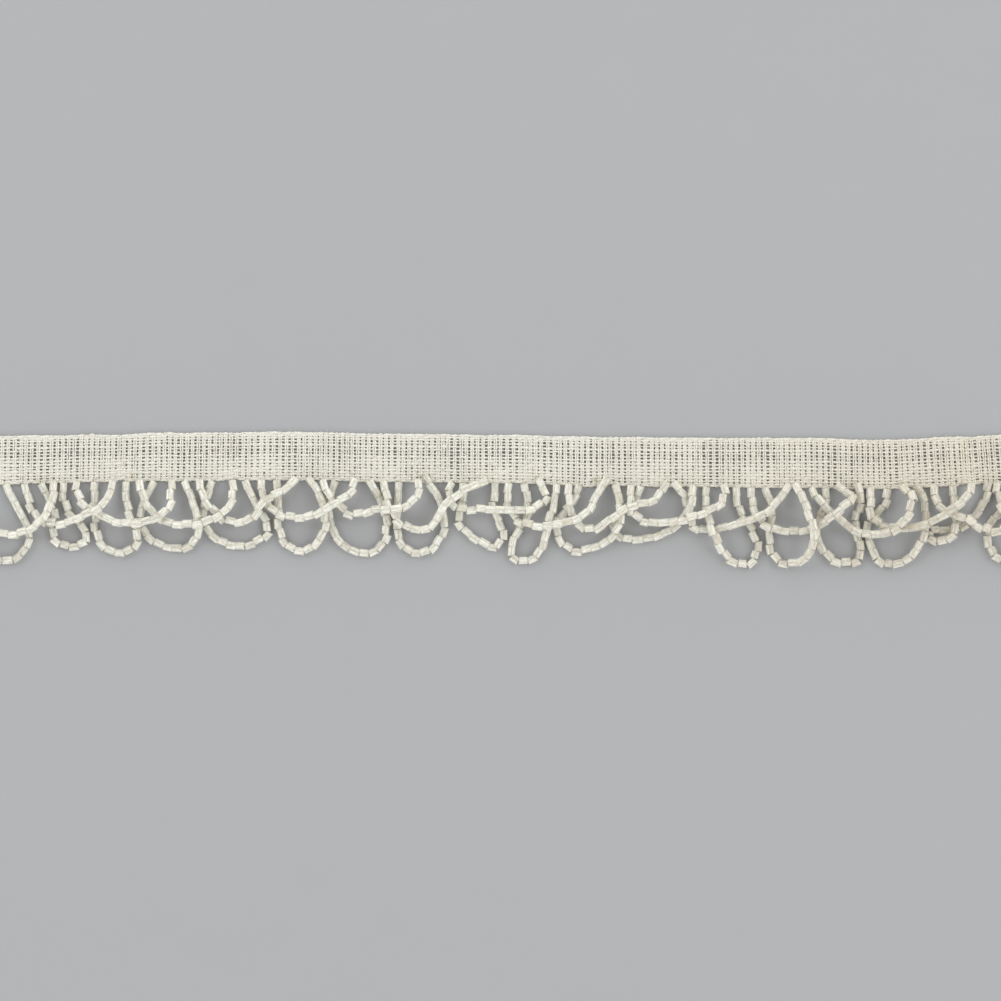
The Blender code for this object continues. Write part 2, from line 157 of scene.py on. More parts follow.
# Beads: how finely they are made, where they are fullest, how unevenly they were cut, how far their
# ends are slanted to meet at a bend, and how loosely they sit on the thread
BEAD_SIDES = 20
BEAD_RINGS = 8
SHARP_EDGE = math.radians(32)
FULLEST_AT = 0.33
FULLEST_RADIUS = 1.004
CHAMFER_AT = 0.94
BEAD_CHAMFER = 0.05
BEAD_LAYER_GAP = 0.03
BEAD_END_GAP = 0.005
SLANT_SHARE_SIDEWAYS = 0.34
SLANT_SHARE_UPWARD = 0.90
TRIM_SHARE_AT_BENDS = 0.30
ROOT_TRIM = 0.03
LEAST_HALF_LENGTH = 0.55
LENGTH_SCATTER = 0.13
RADIUS_SCATTER = 0.022
RADIUS_LIMITS = (-0.045, 0.03)
OVALNESS = 0.018
STOUTER_ALONG = (190.0, 225.0)
STOUTER_BY = 0.06
SIDE_SCATTER = 0.07
YAW_SCATTER = math.radians(2.0)
CUT_SCATTER = math.radians(2.6)
CUT_FADE = 3
STAGGER_TURN = math.radians(16)
STAGGER_AT_BENDS = 0.34
STAGGER_SCATTER = 0.55
STAGGER_LIMIT = 1.5
MOST_STAGGER = 0.40

# The threads along the tape, counted from its upper edge, as shares of its width, and half the width
# of the threads that cross them there
WarpRow = namedtuple("WarpRow", "share half_width weft_half_width")
WARP_ROWS = [WarpRow(*row) for row in [
    (0.024, 0.31, 0.32), (0.066, 0.28, 0.31), (0.120, 0.235, 0.28),
    (0.187, 0.195, 0.255), (0.257, 0.29, 0.26), (0.329, 0.195, 0.245),
    (0.401, 0.18, 0.24), (0.473, 0.26, 0.25), (0.546, 0.28, 0.265),
    (0.617, 0.305, 0.275), (0.686, 0.255, 0.275), (0.752, 0.295, 0.29),
    (0.816, 0.33, 0.295), (0.880, 0.285, 0.29), (0.942, 0.235, 0.285),
    (0.980, 0.30, 0.32),
]]

# The pairs of threads across the tape, and where the gaps between them are widest
PAIR_PITCH = 1.42
PAIR_PITCH_SCATTER = 0.09
PAIR_PITCH_LIMITS = (-0.20, 0.22)
WIDE_GAP = 0.24
WIDE_GAPS_AT = [
    16.5, 21.5, 23.0, 24.5, 31.8, 49.0, 72.3, 76.3, 82.3, 110.8, 125.8, 127.5, 133.5, 139.0, 140.8, 149.0,
    173.3, 187.8, 189.3, 190.8, 203.8, 220.9, 236.3, 243.8, 255.5, 261.5, 276.0,
]
PAIR_SPACING = 0.475
THREAD_HALF_HEIGHT = 0.20
CRIMP = 0.18
WEAVE_MIDDLE = 0.40
THREAD_SIDES = 6
PLACE_SCATTER = 0.02

# The threads across: how a pair parts at a slit, how thick it is, and how it turns back at the edges
SLIT_ROWS = (2.0, 8.0)
SLIT_REACH = 1.7
SLIT_SCATTER = 0.07
FULLNESS_SCATTER = 0.05
WEFT_THINNING = 0.10
WEFT_UNEVENNESS = 0.06
EDGE_TURN = 0.05
EDGE_TURN_SCATTER = 0.03
UPPER_TURN_INSET = 0.02
LOWER_TURN_INSET = 0.04
WEFT_INSET = 0.3
TINT_WAVE = 0.013

# The threads along. Where one passes over or under a pair, it has three places, each a side of the
# pair's middle and a share of the crimp
FLOAT_SHAPE = ((-1, 0.85), (0, 1.0), (1, 0.85))
FLOAT_SLANT = 0.045
SLANT_WHERE_LEANING = 0.10
UNEVEN_ON_TOP = 0.09
UNEVEN_AT_GAPS = 0.20
WARP_THICKENING = 0.22
THINNEST, THICKEST = 0.6, 1.5
LEAST_ADVANCE = 0.05
WARP_INSET = 0.1

# Waves along the tape: one set makes the weave more open or closer, the other lets its rows wander.
# Each has a strength, a turn for each millimetre, a start and a turn across the tape or for each row
Wave = namedtuple("Wave", "strength along start across")
OPENNESS = [Wave(0.45, 0.19, 1.3, 2.0), Wave(0.35, 0.47, 0.4, -3.1), Wave(0.20, 1.13, 2.2, 4.3)]
WANDER = [Wave(0.05, 0.41, 0.0, 1.7), Wave(0.03, 1.03, 0.0, 2.9)]

# How far the pairs lean to the right on their way down, at places along the tape
LEANS_ALONG = [0.0, 12.0, 50.0, 100.0, 150.0, 200.0, 226.0, 242.0, 262.0, 274.0, 288.25]
LEANS = [0.0, -0.30, -0.22, -0.10, 0.0, 0.10, 0.15, 0.70, 0.95, 0.80, 0.0]

# Where the edges are pulled up by a stitch, or bulge: a place along the tape, a rise and a half width.
# A pull fades across the tape as a power of how near its edge is
Pull = namedtuple("Pull", "along rise half_width")
UPPER_PULL_FADE = 6
LOWER_PULL_FADE = 4
LOWER_PULLS = [Pull(*row) for row in [
    (14.0, -0.25, 1.0), (42.3, 0.55, 1.9), (71.0, 0.55, 1.6), (158.8, -0.30, 1.8),
    (164.8, 0.60, 1.7), (238.9, 0.55, 1.6), (253.5, 0.75, 1.3), (257.3, 0.60, 1.4),
]]
UPPER_PULLS = [Pull(*row) for row in [
    (32.7, 0.12, 0.9), (35.4, 0.32, 0.8), (54.6, 0.30, 0.9), (102.8, 0.12, 0.8),
]]

# Stains, each a place along the tape, a height over the line, a radius and a strength
Stain = namedtuple("Stain", "along height radius strength")
STAINS = [Stain(*row) for row in [
    (43.8, 4.3, 0.40, 0.9), (66.2, 8.0, 0.45, 0.5), (221.2, 8.0, 0.50, 0.6),
    (249.5, 4.4, 1.2, 0.40), (253.0, 4.9, 1.3, 0.35), (247.5, 1.6, 1.2, 0.35),
    (45.6, 1.4, 0.55, 0.9), (161.2, 0.5, 0.60, 0.9), (100.2, 2.2, 0.45, 0.6),
    (117.6, 1.1, 0.50, 0.6), (146.5, 0.9, 0.50, 0.6), (207.8, 0.2, 0.50, 0.7),
    (221.9, -0.9, 0.60, 0.8), (237.9, -0.3, 0.60, 0.9), (252.9, -0.2, 0.70, 0.8),
    (22.0, 0.5, 0.80, 0.45), (36.4, 0.8, 0.35, 0.8), (18.2, 1.0, 0.40, 0.8),
    (218.8, -0.7, 0.40, 0.8), (225.4, -1.0, 0.45, 0.9), (234.4, -0.6, 0.40, 0.8),
]]
AGED_FROM, AGED_AT = 150.0, 255.0
AGED_SOIL = 0.24

# Loose fibres at the tape's edges
FIBRES = 260
FIBRE_STEPS = 5
FIBRE_INSET = 1.0
FIBRE_LENGTHS = (0.5, 1.5)
FIBRE_ROOT = 0.15
FIBRE_ROOT_HEIGHTS = (0.2, 0.7)
FIBRE_SPREAD = 0.7
FIBRE_CURL = 0.45
FIBRE_DROOP = -0.05
FIBRE_LIFT = 0.12
FIBRE_LEAST_HEIGHT = 0.04
FIBRE_RADII = (0.022, 0.010)

# Colours that the finishes mix in: a darker tone towards the ends of a bead, painted shade on its rims
# where beads meet, and colours of soil and age. Then how strongly the thread in the beads is stained,
# and the length of a twist of the cotton
DARKER_END = (0.50, 0.43, 0.30)
JOINT_SHADE = (0.42, 0.36, 0.26)
AGED_GLASS = (0.87, 0.84, 0.81)
DARK_SPOT = (0.36, 0.27, 0.18)
THREAD_STAIN = (0.50, 0.42, 0.30)
THREAD_STAIN_STRENGTH = 0.5
THREAD_TWIST = 0.5
TAPE_TWIST = 0.95

# How much of each colour of wear, soil or age is mixed in, where it is strongest, and how far the ends
# of a bead are darkened, with painted shade on their rims
BEAD_DULLING = 0.75
BEAD_WARMING = 0.6
BEAD_END_DARKENING = 0.20
STAIN_COVER = 0.35
SOIL_COVER = 0.85
DARK_SPOT_COVER = 0.6
SPECK_COVER = 0.4

# How much the clouds and lines on a bead change its brightness, the lines being partly the glass's own
# streaks and partly painted highlight lines, and how much painted shade darkens the cotton on the flanks
# of its threads and down in the weave, where the shade ends between two heights in metres
CLOUD_CONTRAST = 0.95
LINE_CONTRAST = 0.10
FLANK_SHADE = 0.13
WEAVE_SHADE = 0.8
WEAVE_SHADE_ENDS = (0.00020, 0.00042)

# The grain of the finishes: how fine it is along a part and around it, and a noise's scale, detail and
# roughness. Patches have only those last three
Grain = namedtuple("Grain", "along around scale detail roughness")
BROAD_STREAKS = Grain(0.4, 2.4, 1.0, 2.0, 0.5)
FINE_STREAKS = Grain(0.5, 7.0, 1.0, 2.0, 0.6)
CLOUDS = Grain(0.8, 1.3, 1.5, 4.0, 0.7)
WARM_PATCHES = Grain(0.7, 1.2, 1.2, 3.0, 0.6)
COTTON_FIBRES = Grain(1.6, 3.0, 2.2, 3.0, 0.65)
COTTON_STAINS = (95.0, 3.0, 0.55)
COTTON_SPECKS = (420.0, 2.0, 0.5)
FLOOR_MOTTLE = (60.0, 4.0, 0.6)

# How far apart the noises of beads and of threads are, and those of the grains on one bead
BEADS_APART = 37.0
THREADS_APART = 29.0
FINE_APART, CLOUDS_APART, WARM_APART = 11.0, 5.0, 17.0

# How far a strand's thread runs on into the tape, and how far where its last bead lies on the tape
THREAD_INTO_TAPE = 0.9
THREAD_INTO_TAPE_BELOW_BEAD = 0.45

# Studio. The middle of the view, a place on the fringe, and the sensor's width are in millimetres, the
# other sizes in metres
VIEW_MIDDLE = (137.625, -4.625, 0.0)
SENSOR_WIDTH = 36.0
FARTHEST_SEEN = 20.0
FLOOR_REACH = 3.0
FLOOR_MOTTLE_SHADE = 0.985
SKY_COLOUR = (1.0, 0.995, 0.985)
LAMP_COLOUR = (1.0, 0.985, 0.96)
LAMP_WIDTH, LAMP_HEIGHT = 0.45, 0.7
LAMPS = {"left_lamp": (-0.95, 0.45, 0.95), "right_lamp": (0.95, 0.25, 0.95)}

Strand = namedtuple("Strand", "kind row joints reaches_tape")


class BeadSettings(bpy.types.PropertyGroup):
    """Sizes and colours of the tube beads"""

    radius: bpy.props.FloatProperty(
        name="Radius", description="Radius of a bead", default=0.00093,
        min=0.0004, max=0.0015, precision=5, unit="LENGTH")
    hole_radius: bpy.props.FloatProperty(
        name="Hole radius", description="Radius of the hole through a bead", default=0.00040,
        min=0.0001, max=0.0008, precision=5, unit="LENGTH")
    colour: bpy.props.FloatVectorProperty(
        name="Ivory", description="Colour of most beads", default=(0.825, 0.825, 0.74),
        min=0.0, max=1.0, subtype="COLOR")
    dull_colour: bpy.props.FloatVectorProperty(
        name="Dull ivory", description="Colour of the darkest beads", default=(0.67, 0.65, 0.555),
        min=0.0, max=1.0, subtype="COLOR")
    warm_colour: bpy.props.FloatVectorProperty(
        name="Warm patches", description="Colour of the yellowed patches on a bead",
        default=(0.74, 0.66, 0.52), min=0.0, max=1.0, subtype="COLOR")
    streaks: bpy.props.FloatProperty(
        name="Streaks", description="Strength of the streaks along a bead", default=0.72,
        min=0.0, max=1.0, subtype="FACTOR")


class ThreadSettings(bpy.types.PropertyGroup):
    """Size and colour of the thread that the beads are strung on"""

    radius: bpy.props.FloatProperty(
        name="Radius", description="Radius of the thread", default=0.00014,
        min=0.00005, max=0.0004, precision=5, unit="LENGTH")
    colour: bpy.props.FloatVectorProperty(
        name="Thread", description="Colour of the thread", default=(0.78, 0.75, 0.65),
        min=0.0, max=1.0, subtype="COLOR")


class TapeSettings(bpy.types.PropertyGroup):
    """Colours of the woven tape"""

    colour: bpy.props.FloatVectorProperty(
        name="Cotton", description="Colour of the cotton", default=(0.872, 0.857, 0.774),
        min=0.0, max=1.0, subtype="COLOR")
    stain_colour: bpy.props.FloatVectorProperty(
        name="Stain", description="Colour of the age stains", default=(0.66, 0.55, 0.38),
        min=0.0, max=1.0, subtype="COLOR")
    stains: bpy.props.FloatProperty(
        name="Stains", description="Strength of the age stains", default=0.5,
        min=0.0, max=1.0, subtype="FACTOR")


class StudioSettings(bpy.types.PropertyGroup):
    """The floor, the light and the camera"""

    view_width: bpy.props.FloatProperty(
        name="View width", description="Width of the view at the floor", default=0.25025,
        min=0.05, max=1.0, precision=5, unit="LENGTH")
    camera_height: bpy.props.FloatProperty(
        name="Camera height", description="Height of the camera over the floor", default=1.5,
        min=0.3, max=5.0, unit="LENGTH")
    floor_colour: bpy.props.FloatVectorProperty(
        name="Floor", description="Colour of the floor", default=(0.45, 0.46, 0.475),
        min=0.0, max=1.0, subtype="COLOR")
    sky_light: bpy.props.FloatProperty(
        name="Even light", description="Strength of the light from straight above",
        default=0.78, min=0.0, max=5.0)
    side_light: bpy.props.FloatProperty(
        name="Side light", description="How much more light comes from the sides",
        default=1.3, min=0.0, max=5.0)
    overhead_shade: bpy.props.FloatProperty(
        name="Overhead shade", description="How much of the light from around the camera is kept off",
        default=0.95, min=0.0, max=1.0, subtype="FACTOR")
    lamp_power: bpy.props.FloatProperty(
        name="Lamps", description="Power of each soft lamp", default=2.4, min=0.0, max=500.0, unit="POWER")


def tape_edge(along, side):
    """Return the height of the upper or lower edge at a place along the tape, eased between sections."""
    for before, after in zip(TAPE_SECTIONS, TAPE_SECTIONS[1:]):
        if along <= after.along:
            break
    part_way = (along - before.along) / (after.along - before.along)
    eased = part_way * part_way * (3.0 - 2.0 * part_way)
    start = getattr(before, side)
    return start + (getattr(after, side) - start) * eased


def place_of_object():
    """Return how far the fringe's own frame is shifted to stand in that of the solids, in millimetres."""
    highest = max(tape_edge(TAPE_LENGTH * step / TAPE_STEPS, "upper") for step in range(TAPE_STEPS + 1))
    _, highest_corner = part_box("tape")
    return numpy.array([-TAPE_LENGTH / 2, highest_corner.y / METRES - highest, 0.0])


def curve_through(points):
    """Return points close together on a smooth curve through all of the points but the first and last."""
    curve = []
    for before, start, end, after in zip(points, points[1:], points[2:], points[3:]):
        span_before = numpy.sqrt(numpy.linalg.norm(start - before))
        span = numpy.sqrt(numpy.linalg.norm(end - start))
        span_after = numpy.sqrt(numpy.linalg.norm(after - end))
        rate_before = (start - before) / span_before
        rate = (end - start) / span
        rate_after = (after - end) / span_after
        leaving = rate + rate_before - (end - before) / (span_before + span)
        arriving = rate + rate_after - (after - start) / (span + span_after)
        for step in range(CURVE_STEPS):
            t = step / CURVE_STEPS
            curve.append(
                start * (2 * t**3 - 3 * t**2 + 1)
                + end * (3 * t**2 - 2 * t**3)
                + leaving * span * (t**3 - 2 * t**2 + t)
                + arriving * span * (t**3 - t**2))
    curve.append(points[-2])
    return numpy.array(curve)


def distances_along(path):
    """Return how far along a path each of its points is."""
    steps = numpy.linalg.norm(numpy.diff(path, axis=0), axis=1)
    return numpy.concatenate([[0.0], numpy.cumsum(steps)])


def strand_from(kind, row, loop, chance):
    """Return a loop as a strand whose joints are about one bead apart, in millimetres on the flat."""
    right_root = loop.root + loop.span
    turning_points = [
        (loop.root + sideways, -drop)
        for sideways, drop in (
            loop.left_upper, loop.left_lower, loop.base_left,
            loop.base_right, loop.right_lower, loop.right_upper)
    ]
    left_end = (loop.root, tape_edge(loop.root, "lower"))
    right_end = (right_root, tape_edge(right_root, "lower"))
    above_left = (left_end[0], left_end[1] + STRAIGHT_LENGTH_AT_ROOT)
    path = [above_left, left_end, *turning_points, right_end]
    if loop.reach:
        onward = numpy.array(right_end) - turning_points[-1]
        onward = onward / numpy.linalg.norm(onward)
        path += [right_end + onward * loop.reach, right_end + onward * 2 * loop.reach]
    else:
        path.append((right_end[0], right_end[1] + STRAIGHT_LENGTH_AT_ROOT))
    curve = curve_through(numpy.array(path))
    travelled = distances_along(curve)
    beads = round(travelled[-1] / BEAD_PITCH)
    stops = numpy.linspace(0.0, travelled[-1], beads + 1)
    stops[1:-1] += chance.normal(0.0, LENGTH_SCATTER, beads - 1)
    joints = numpy.column_stack([numpy.interp(stops, travelled, curve[:, axis]) for axis in (0, 1)])
    return Strand(kind, row, joints, bool(loop.reach))


def lies_over(strand, bead, other, other_bead):
    """Say whether a bead of one strand passes over a bead of another, or of the same one."""
    if strand is other:
        return bead < other_bead
    if strand.kind == other.kind:
        return strand.row < other.row
    long_strand, long_bead = (strand, bead) if strand.kind == "long" else (other, other_bead)
    leg = "left" if long_bead < len(long_strand.joints) / 2 else "right"
    own_row = strand.row == other.row
    long_on_top = own_row and ("long", long_strand.row, leg) in LEGS_ON_TOP
    return long_on_top == (strand.kind == "long")


def crossing_probes(strands, width):
    """Return where beads lie over other beads or over the tape, as four arrays with an entry for each probe.

    A probe is a place under a bead, on its middle line or at one side, that has something below it.
    The arrays hold the upper bead's first joint in the run of all joints, how far along that bead the
    probe is, and the same two for the lower bead. The tape counts as a joint after all the others.
    """
    owners = [(strand, bead) for strand in strands for bead in range(len(strand.joints) - 1)]
    starts = numpy.concatenate([strand.joints[:-1] for strand in strands])
    along = numpy.concatenate([numpy.diff(strand.joints, axis=0) for strand in strands])
    ends_of_strands = numpy.cumsum([len(strand.joints) for strand in strands])
    tape_joint = ends_of_strands[-1]
    joint_numbers = numpy.delete(numpy.arange(tape_joint), ends_of_strands - 1)
    squared_lengths = (along**2).sum(axis=1)
    reach = width / 2 + SIDE_GAP
    probes = []
    for number, (strand, bead) in enumerate(owners):
        to_side = numpy.array([-along[number][1], along[number][0]]) / numpy.sqrt(squared_lengths[number])
        beads = len(strand.joints) - 1
        may_lie_on_tape = strand.reaches_tape and bead >= beads - LAST_BEADS_ON_TAPE
        for probe in range(PROBES_PER_BEAD):
            fraction = (probe + 0.5) / PROBES_PER_BEAD
            for side in (-width / 2, 0.0, width / 2):
                place = starts[number] + along[number] * fraction + to_side * side
                if may_lie_on_tape and place[1] > tape_edge(place[0], "lower"):
                    probes.append((joint_numbers[number], fraction, tape_joint, 0.0))
                others = numpy.clip(((place - starts) * along).sum(axis=1) / squared_lengths, 0.0, 1.0)
                distances = numpy.linalg.norm(starts + along * others[:, None] - place, axis=1)
                for other_number in numpy.nonzero(distances < reach)[0]:
                    other, other_bead = owners[other_number]
                    if strand is other and abs(bead - other_bead) <= BEADS_TOO_CLOSE_TO_CROSS:
                        continue
                    if lies_over(strand, bead, other, other_bead):
                        probes.append((
                            joint_numbers[number], fraction,
                            joint_numbers[other_number], others[other_number]))
    upper_joint, upper_fraction, lower_joint, lower_fraction = numpy.array(probes).T
    return upper_joint.astype(int), upper_fraction, lower_joint.astype(int), lower_fraction


def stoutness(along):
    """Return by what share the beads are thicker at a place than they are in the left part."""
    return numpy.interp(along, STOUTER_ALONG, (0.0, STOUTER_BY))


def strand_heights(strands, width, layer, tape_top):
    """Return the height of the underside at each joint of each strand.

    Where a strand passes over another its beads are lifted by a layer, and where one reaches onto
    the tape it lies on that. In between, each joint settles to where the strand bends evenly and
    sags a little, but no lower than what is under it allows.
    """
    joint, fraction, under_joint, under_fraction = crossing_probes(strands, width)
    counts = [len(strand.joints) for strand in strands]
    firsts = numpy.concatenate([[0], numpy.cumsum(counts)])
    joints = firsts[-1]
    numbers = numpy.arange(joints)
    starts_strand = numpy.isin(numbers, firsts)
    ends_strand = numpy.isin(numbers + 1, firsts)
    is_root = starts_strand | ends_strand
    next_to_root = numpy.isin(numbers - 1, firsts) | numpy.isin(numbers + 2, firsts)
    near_root = starts_strand | next_to_root | numpy.isin(numbers + 3, firsts)
    drop_after = numpy.where(near_root, MOST_DROP_AT_ROOT, MOST_DROP)
    drop_before = numpy.roll(drop_after, 1)
    root_heights = numpy.zeros(joints)
    for end, strand in zip(firsts[1:], strands):
        root_heights[end - 1] = tape_top if strand.reaches_tape else 0.0
    heights = numpy.concatenate([root_heights, [tape_top - layer] * 2])
    evenness = (1 - fraction) ** 2 + fraction**2
    alongs = numpy.concatenate([strand.joints[:, 0] for strand in strands])
    layers = layer * (1 + stoutness(alongs[joint]))

    def least_heights():
        """Return how low the upper beads may lie at their probes, as the joints are now."""
        under = heights[under_joint] * (1 - under_fraction) + heights[under_joint + 1] * under_fraction
        return under + layers

    for settling_round in range(SETTLING_ROUNDS):
        short_by = least_heights() - heights[joint] * (1 - fraction) - heights[joint + 1] * fraction
        lift = numpy.zeros(joints)
        numpy.maximum.at(lift, joint, short_by * (1 - fraction) / evenness)
        numpy.maximum.at(lift, joint + 1, short_by * fraction / evenness)
        heights[:joints] += lift
        least = least_heights()
        lowest = numpy.zeros(joints)
        numpy.maximum.at(lowest, joint, (least - heights[joint + 1] * fraction) / (1 - fraction))
        numpy.maximum.at(lowest, joint + 1, (least - heights[joint] * (1 - fraction)) / fraction)
        now = heights[:joints]
        before_it = numpy.where(starts_strand, now, numpy.roll(now, 1))
        after_it = numpy.where(ends_strand, now, numpy.roll(now, -1))
        beside = numpy.roll(now, 1) + numpy.roll(now, -1)
        beyond = numpy.roll(now, 2) + numpy.roll(now, -2)
        bent = numpy.where(next_to_root, beside / 2, (4 * beside - beyond) / 6) - SAG_PER_BEAD
        bent = numpy.where(is_root, root_heights, bent)
        bent = numpy.maximum(bent, numpy.maximum(before_it - drop_before, after_it - drop_after))
        settled = numpy.where(bent > now, bent, numpy.minimum(now, numpy.maximum(bent, lowest)))
        # Every third joint moves in a round, so that no neighbours move at once
        moves = numbers % 3 == settling_round % 3
        heights[:joints][moves] = settled[moves]
    return [heights[first:end] for first, end in zip(firsts, firsts[1:])]


@functools.lru_cache(maxsize=None)
def laid_strands(radius):
    """Return each strand with its joints as points in space on its middle line, in millimetres."""
    chance = numpy.random.default_rng(SEEDS["lengths"])
    strands = [
        strand_from(kind, row, loop, chance)
        for kind, loops in (("wide", WIDE_LOOPS), ("long", LONG_LOOPS))
        for row, loop in enumerate(loops)
    ]
    tape_top = WEAVE_MIDDLE + CRIMP + THREAD_HALF_HEIGHT
    heights = strand_heights(strands, 2 * radius, 2 * radius + BEAD_LAYER_GAP, tape_top)
    return [
        (strand, numpy.column_stack([strand.joints, height + radius]))
        for strand, height in zip(strands, heights)
    ]


def unit(vectors):
    """Return vectors of length 1 in the same directions."""
    return vectors / numpy.linalg.norm(vectors, axis=-1, keepdims=True)


def side_and_up(axes):
    """Return the level directions to the left of some axes, and the directions up from them."""
    side = unit(numpy.stack([-axes[..., 1], axes[..., 0], numpy.zeros(axes.shape[:-1])], axis=-1))
    return side, numpy.cross(axes, side)


def circle(sides):
    """Return the angles of the corners around a ring, with their cosines and sines."""
    angles = numpy.linspace(0.0, 2 * math.pi, sides, endpoint=False)
    return angles, numpy.cos(angles), numpy.sin(angles)


def bead_rings(half_length, radius, hole_radius):
    """Return a bead's outline as rings, each a place along it, a radius and a share of its half length."""
    body = half_length - BEAD_CHAMFER
    right_half = [
        (body * FULLEST_AT, radius * FULLEST_RADIUS, FULLEST_AT),
        (body, radius, CHAMFER_AT),
        (half_length, radius - BEAD_CHAMFER, 1.0),
        (half_length, hole_radius, 1.0),
    ]
    left_half = [(-along, ring_radius, -share) for along, ring_radius, share in reversed(right_half)]
    return left_half + right_half


def beads_of(strand, points, radius, hole_radius, chance):
    """Return the corners of a strand's beads, and each corner's place on its bead and that bead's tint."""
    axes = unit(numpy.diff(points, axis=0))
    turns = numpy.zeros(len(points))
    turns[1:-1] = numpy.arccos(numpy.clip((axes[1:] * axes[:-1]).sum(axis=1), -1.0, 1.0))
    facings = unit(numpy.concatenate([axes[:1], axes[1:] + axes[:-1], axes[-1:]]))
    root_trims = (ROOT_TRIM, 0.0 if strand.reaches_tape else ROOT_TRIM)

    def end_of(joint, axis, side, up):
        """Return the slants that a bead's end has at a joint, and how far it stays away from it."""
        sideways = -facings[joint] @ side / (facings[joint] @ axis)
        upward = -facings[joint] @ up / (facings[joint] @ axis)
        still_open = math.hypot(
            sideways * (1 - SLANT_SHARE_SIDEWAYS), upward * (1 - SLANT_SHARE_UPWARD))
        trim = BEAD_END_GAP / 2 + radius * still_open * TRIM_SHARE_AT_BENDS
        if joint in (0, len(axes)):
            trim += root_trims[0 if joint == 0 else 1]
        return sideways * SLANT_SHARE_SIDEWAYS, upward * SLANT_SHARE_UPWARD, trim

    angles, cosines, sines = circle(BEAD_SIDES)
    corners, places, tints = [], [], []
    for bead in range(len(axes)):
        axis = axes[bead]
        side, up = side_and_up(axis)
        ends = [end_of(joint, axis, side, up) for joint in (bead, bead + 1)]
        start = points[bead] + axis * ends[0][2]
        end = points[bead + 1] - axis * ends[1][2]
        half_length = max(float(numpy.linalg.norm(end - start)) / 2, LEAST_HALF_LENGTH)
        bend = max(turns[bead], turns[bead + 1])
        alternate = 1 if bead % 2 else -1
        stagger = alternate * STAGGER_AT_BENDS * min(bend / STAGGER_TURN, STAGGER_LIMIT)
        shift = chance.normal(0.0, SIDE_SCATTER)
        shift += stagger * abs(chance.normal(0.0, STAGGER_SCATTER))
        shift = float(numpy.clip(shift, -MOST_STAGGER, MOST_STAGGER))
        centre = (start + end) / 2 + side * shift
        axis = unit(axis + side * math.tan(chance.normal(0.0, YAW_SCATTER)))
        side, up = side_and_up(axis)
        own_radius = radius * (1 + float(numpy.clip(chance.normal(0.0, RADIUS_SCATTER), *RADIUS_LIMITS)))
        own_radius *= 1 + float(stoutness(centre[0]))
        lowest = centre[2] - half_length * abs(axis[2]) - own_radius * (1 + OVALNESS) * up[2]
        centre[2] -= min(lowest, 0.0)
        oval_angle, *cut_angles = chance.uniform(0.0, 2 * math.pi, 3)
        slants = numpy.tan(chance.normal(0.0, CUT_SCATTER, 2))
        tint = chance.uniform()
        evenness = 1 + OVALNESS * numpy.cos(2 * (angles - oval_angle))
        for along, ring_radius, share in bead_rings(half_length, own_radius, hole_radius):
            radii = ring_radius * evenness
            cut = 0 if along < 0 else 1
            sideways, upward, _ = ends[cut]
            slant = slants[cut] * numpy.cos(angles - cut_angles[cut]) + sideways * cosines + upward * sines
            places_along = along + radii * slant * abs(share) ** CUT_FADE
            corners.append(
                centre
                + axis * places_along[:, None]
                + side * (radii * cosines)[:, None]
                + up * (radii * sines)[:, None])
            outward = min(ring_radius / (own_radius - BEAD_CHAMFER), 1.0)
            places.append(numpy.column_stack([
                numpy.full(BEAD_SIDES, share), cosines * outward, sines * outward]))
            tints.append(numpy.full(BEAD_SIDES, tint))
    return numpy.concatenate(corners), numpy.concatenate(places), numpy.concatenate(tints)


def ring_quads(rings, sides, closed):
    """Return the faces between rings of corners that follow one another, back to the first if closed."""
    corner = numpy.arange(sides)
    next_corner = (corner + 1) % sides
    pairs = [(ring, ring + 1) for ring in range(rings - 1)]
    if closed:
        pairs.append((rings - 1, 0))
    return numpy.concatenate([
        numpy.column_stack([
            ring * sides + corner, ring * sides + next_corner,
            after * sides + next_corner, after * sides + corner])
        for ring, after in pairs])


def tube(path, half_widths, half_heights):
    """Return the corners, faces and places of a thread along a path, closed at both ends."""
    path = numpy.asarray(path)
    tangents = unit(numpy.gradient(path, axis=0))
    side, up = side_and_up(tangents)
    _, cosines, sines = circle(THREAD_SIDES)
    sideways, upward = [
        direction[:, None] * numpy.broadcast_to(half_sizes, len(path))[:, None, None]
        for direction, half_sizes in ((side, half_widths), (up, half_heights))]
    corners = path[:, None] + sideways * cosines[:, None] + upward * sines[:, None]
    travelled = distances_along(path)[:, None]
    places = numpy.stack(numpy.broadcast_arrays(travelled, cosines, sines), axis=-1)
    quads = ring_quads(len(path), THREAD_SIDES, closed=False)
    # Two faces with four corners close the six sides of a thread at each of its ends
    last = (len(path) - 1) * THREAD_SIDES
    caps = numpy.array([
        (0, 3, 2, 1), (0, 5, 4, 3),
        (last, last + 1, last + 2, last + 3), (last, last + 3, last + 4, last + 5)])
    return corners.reshape(-1, 3), numpy.concatenate([quads, caps]), places.reshape(-1, 3)


def soil_at(corners):
    """Return how stained the fringe is at each corner, 0 to 1."""
    soil = numpy.zeros(len(corners))
    for stain in STAINS:
        squared = (corners[:, 0] - stain.along) ** 2 + (corners[:, 1] - stain.height) ** 2
        soil = numpy.maximum(soil, stain.strength * numpy.exp(-squared / stain.radius**2))
    aged = numpy.clip((corners[:, 0] - AGED_FROM) / (AGED_AT - AGED_FROM), 0.0, 1.0)
    return numpy.maximum(soil, AGED_SOIL * aged)


def new_object(name, data):
    """Return a new object of the scene."""
    made = bpy.data.objects.new(name, data)
    bpy.context.scene.collection.objects.link(made)
    return made


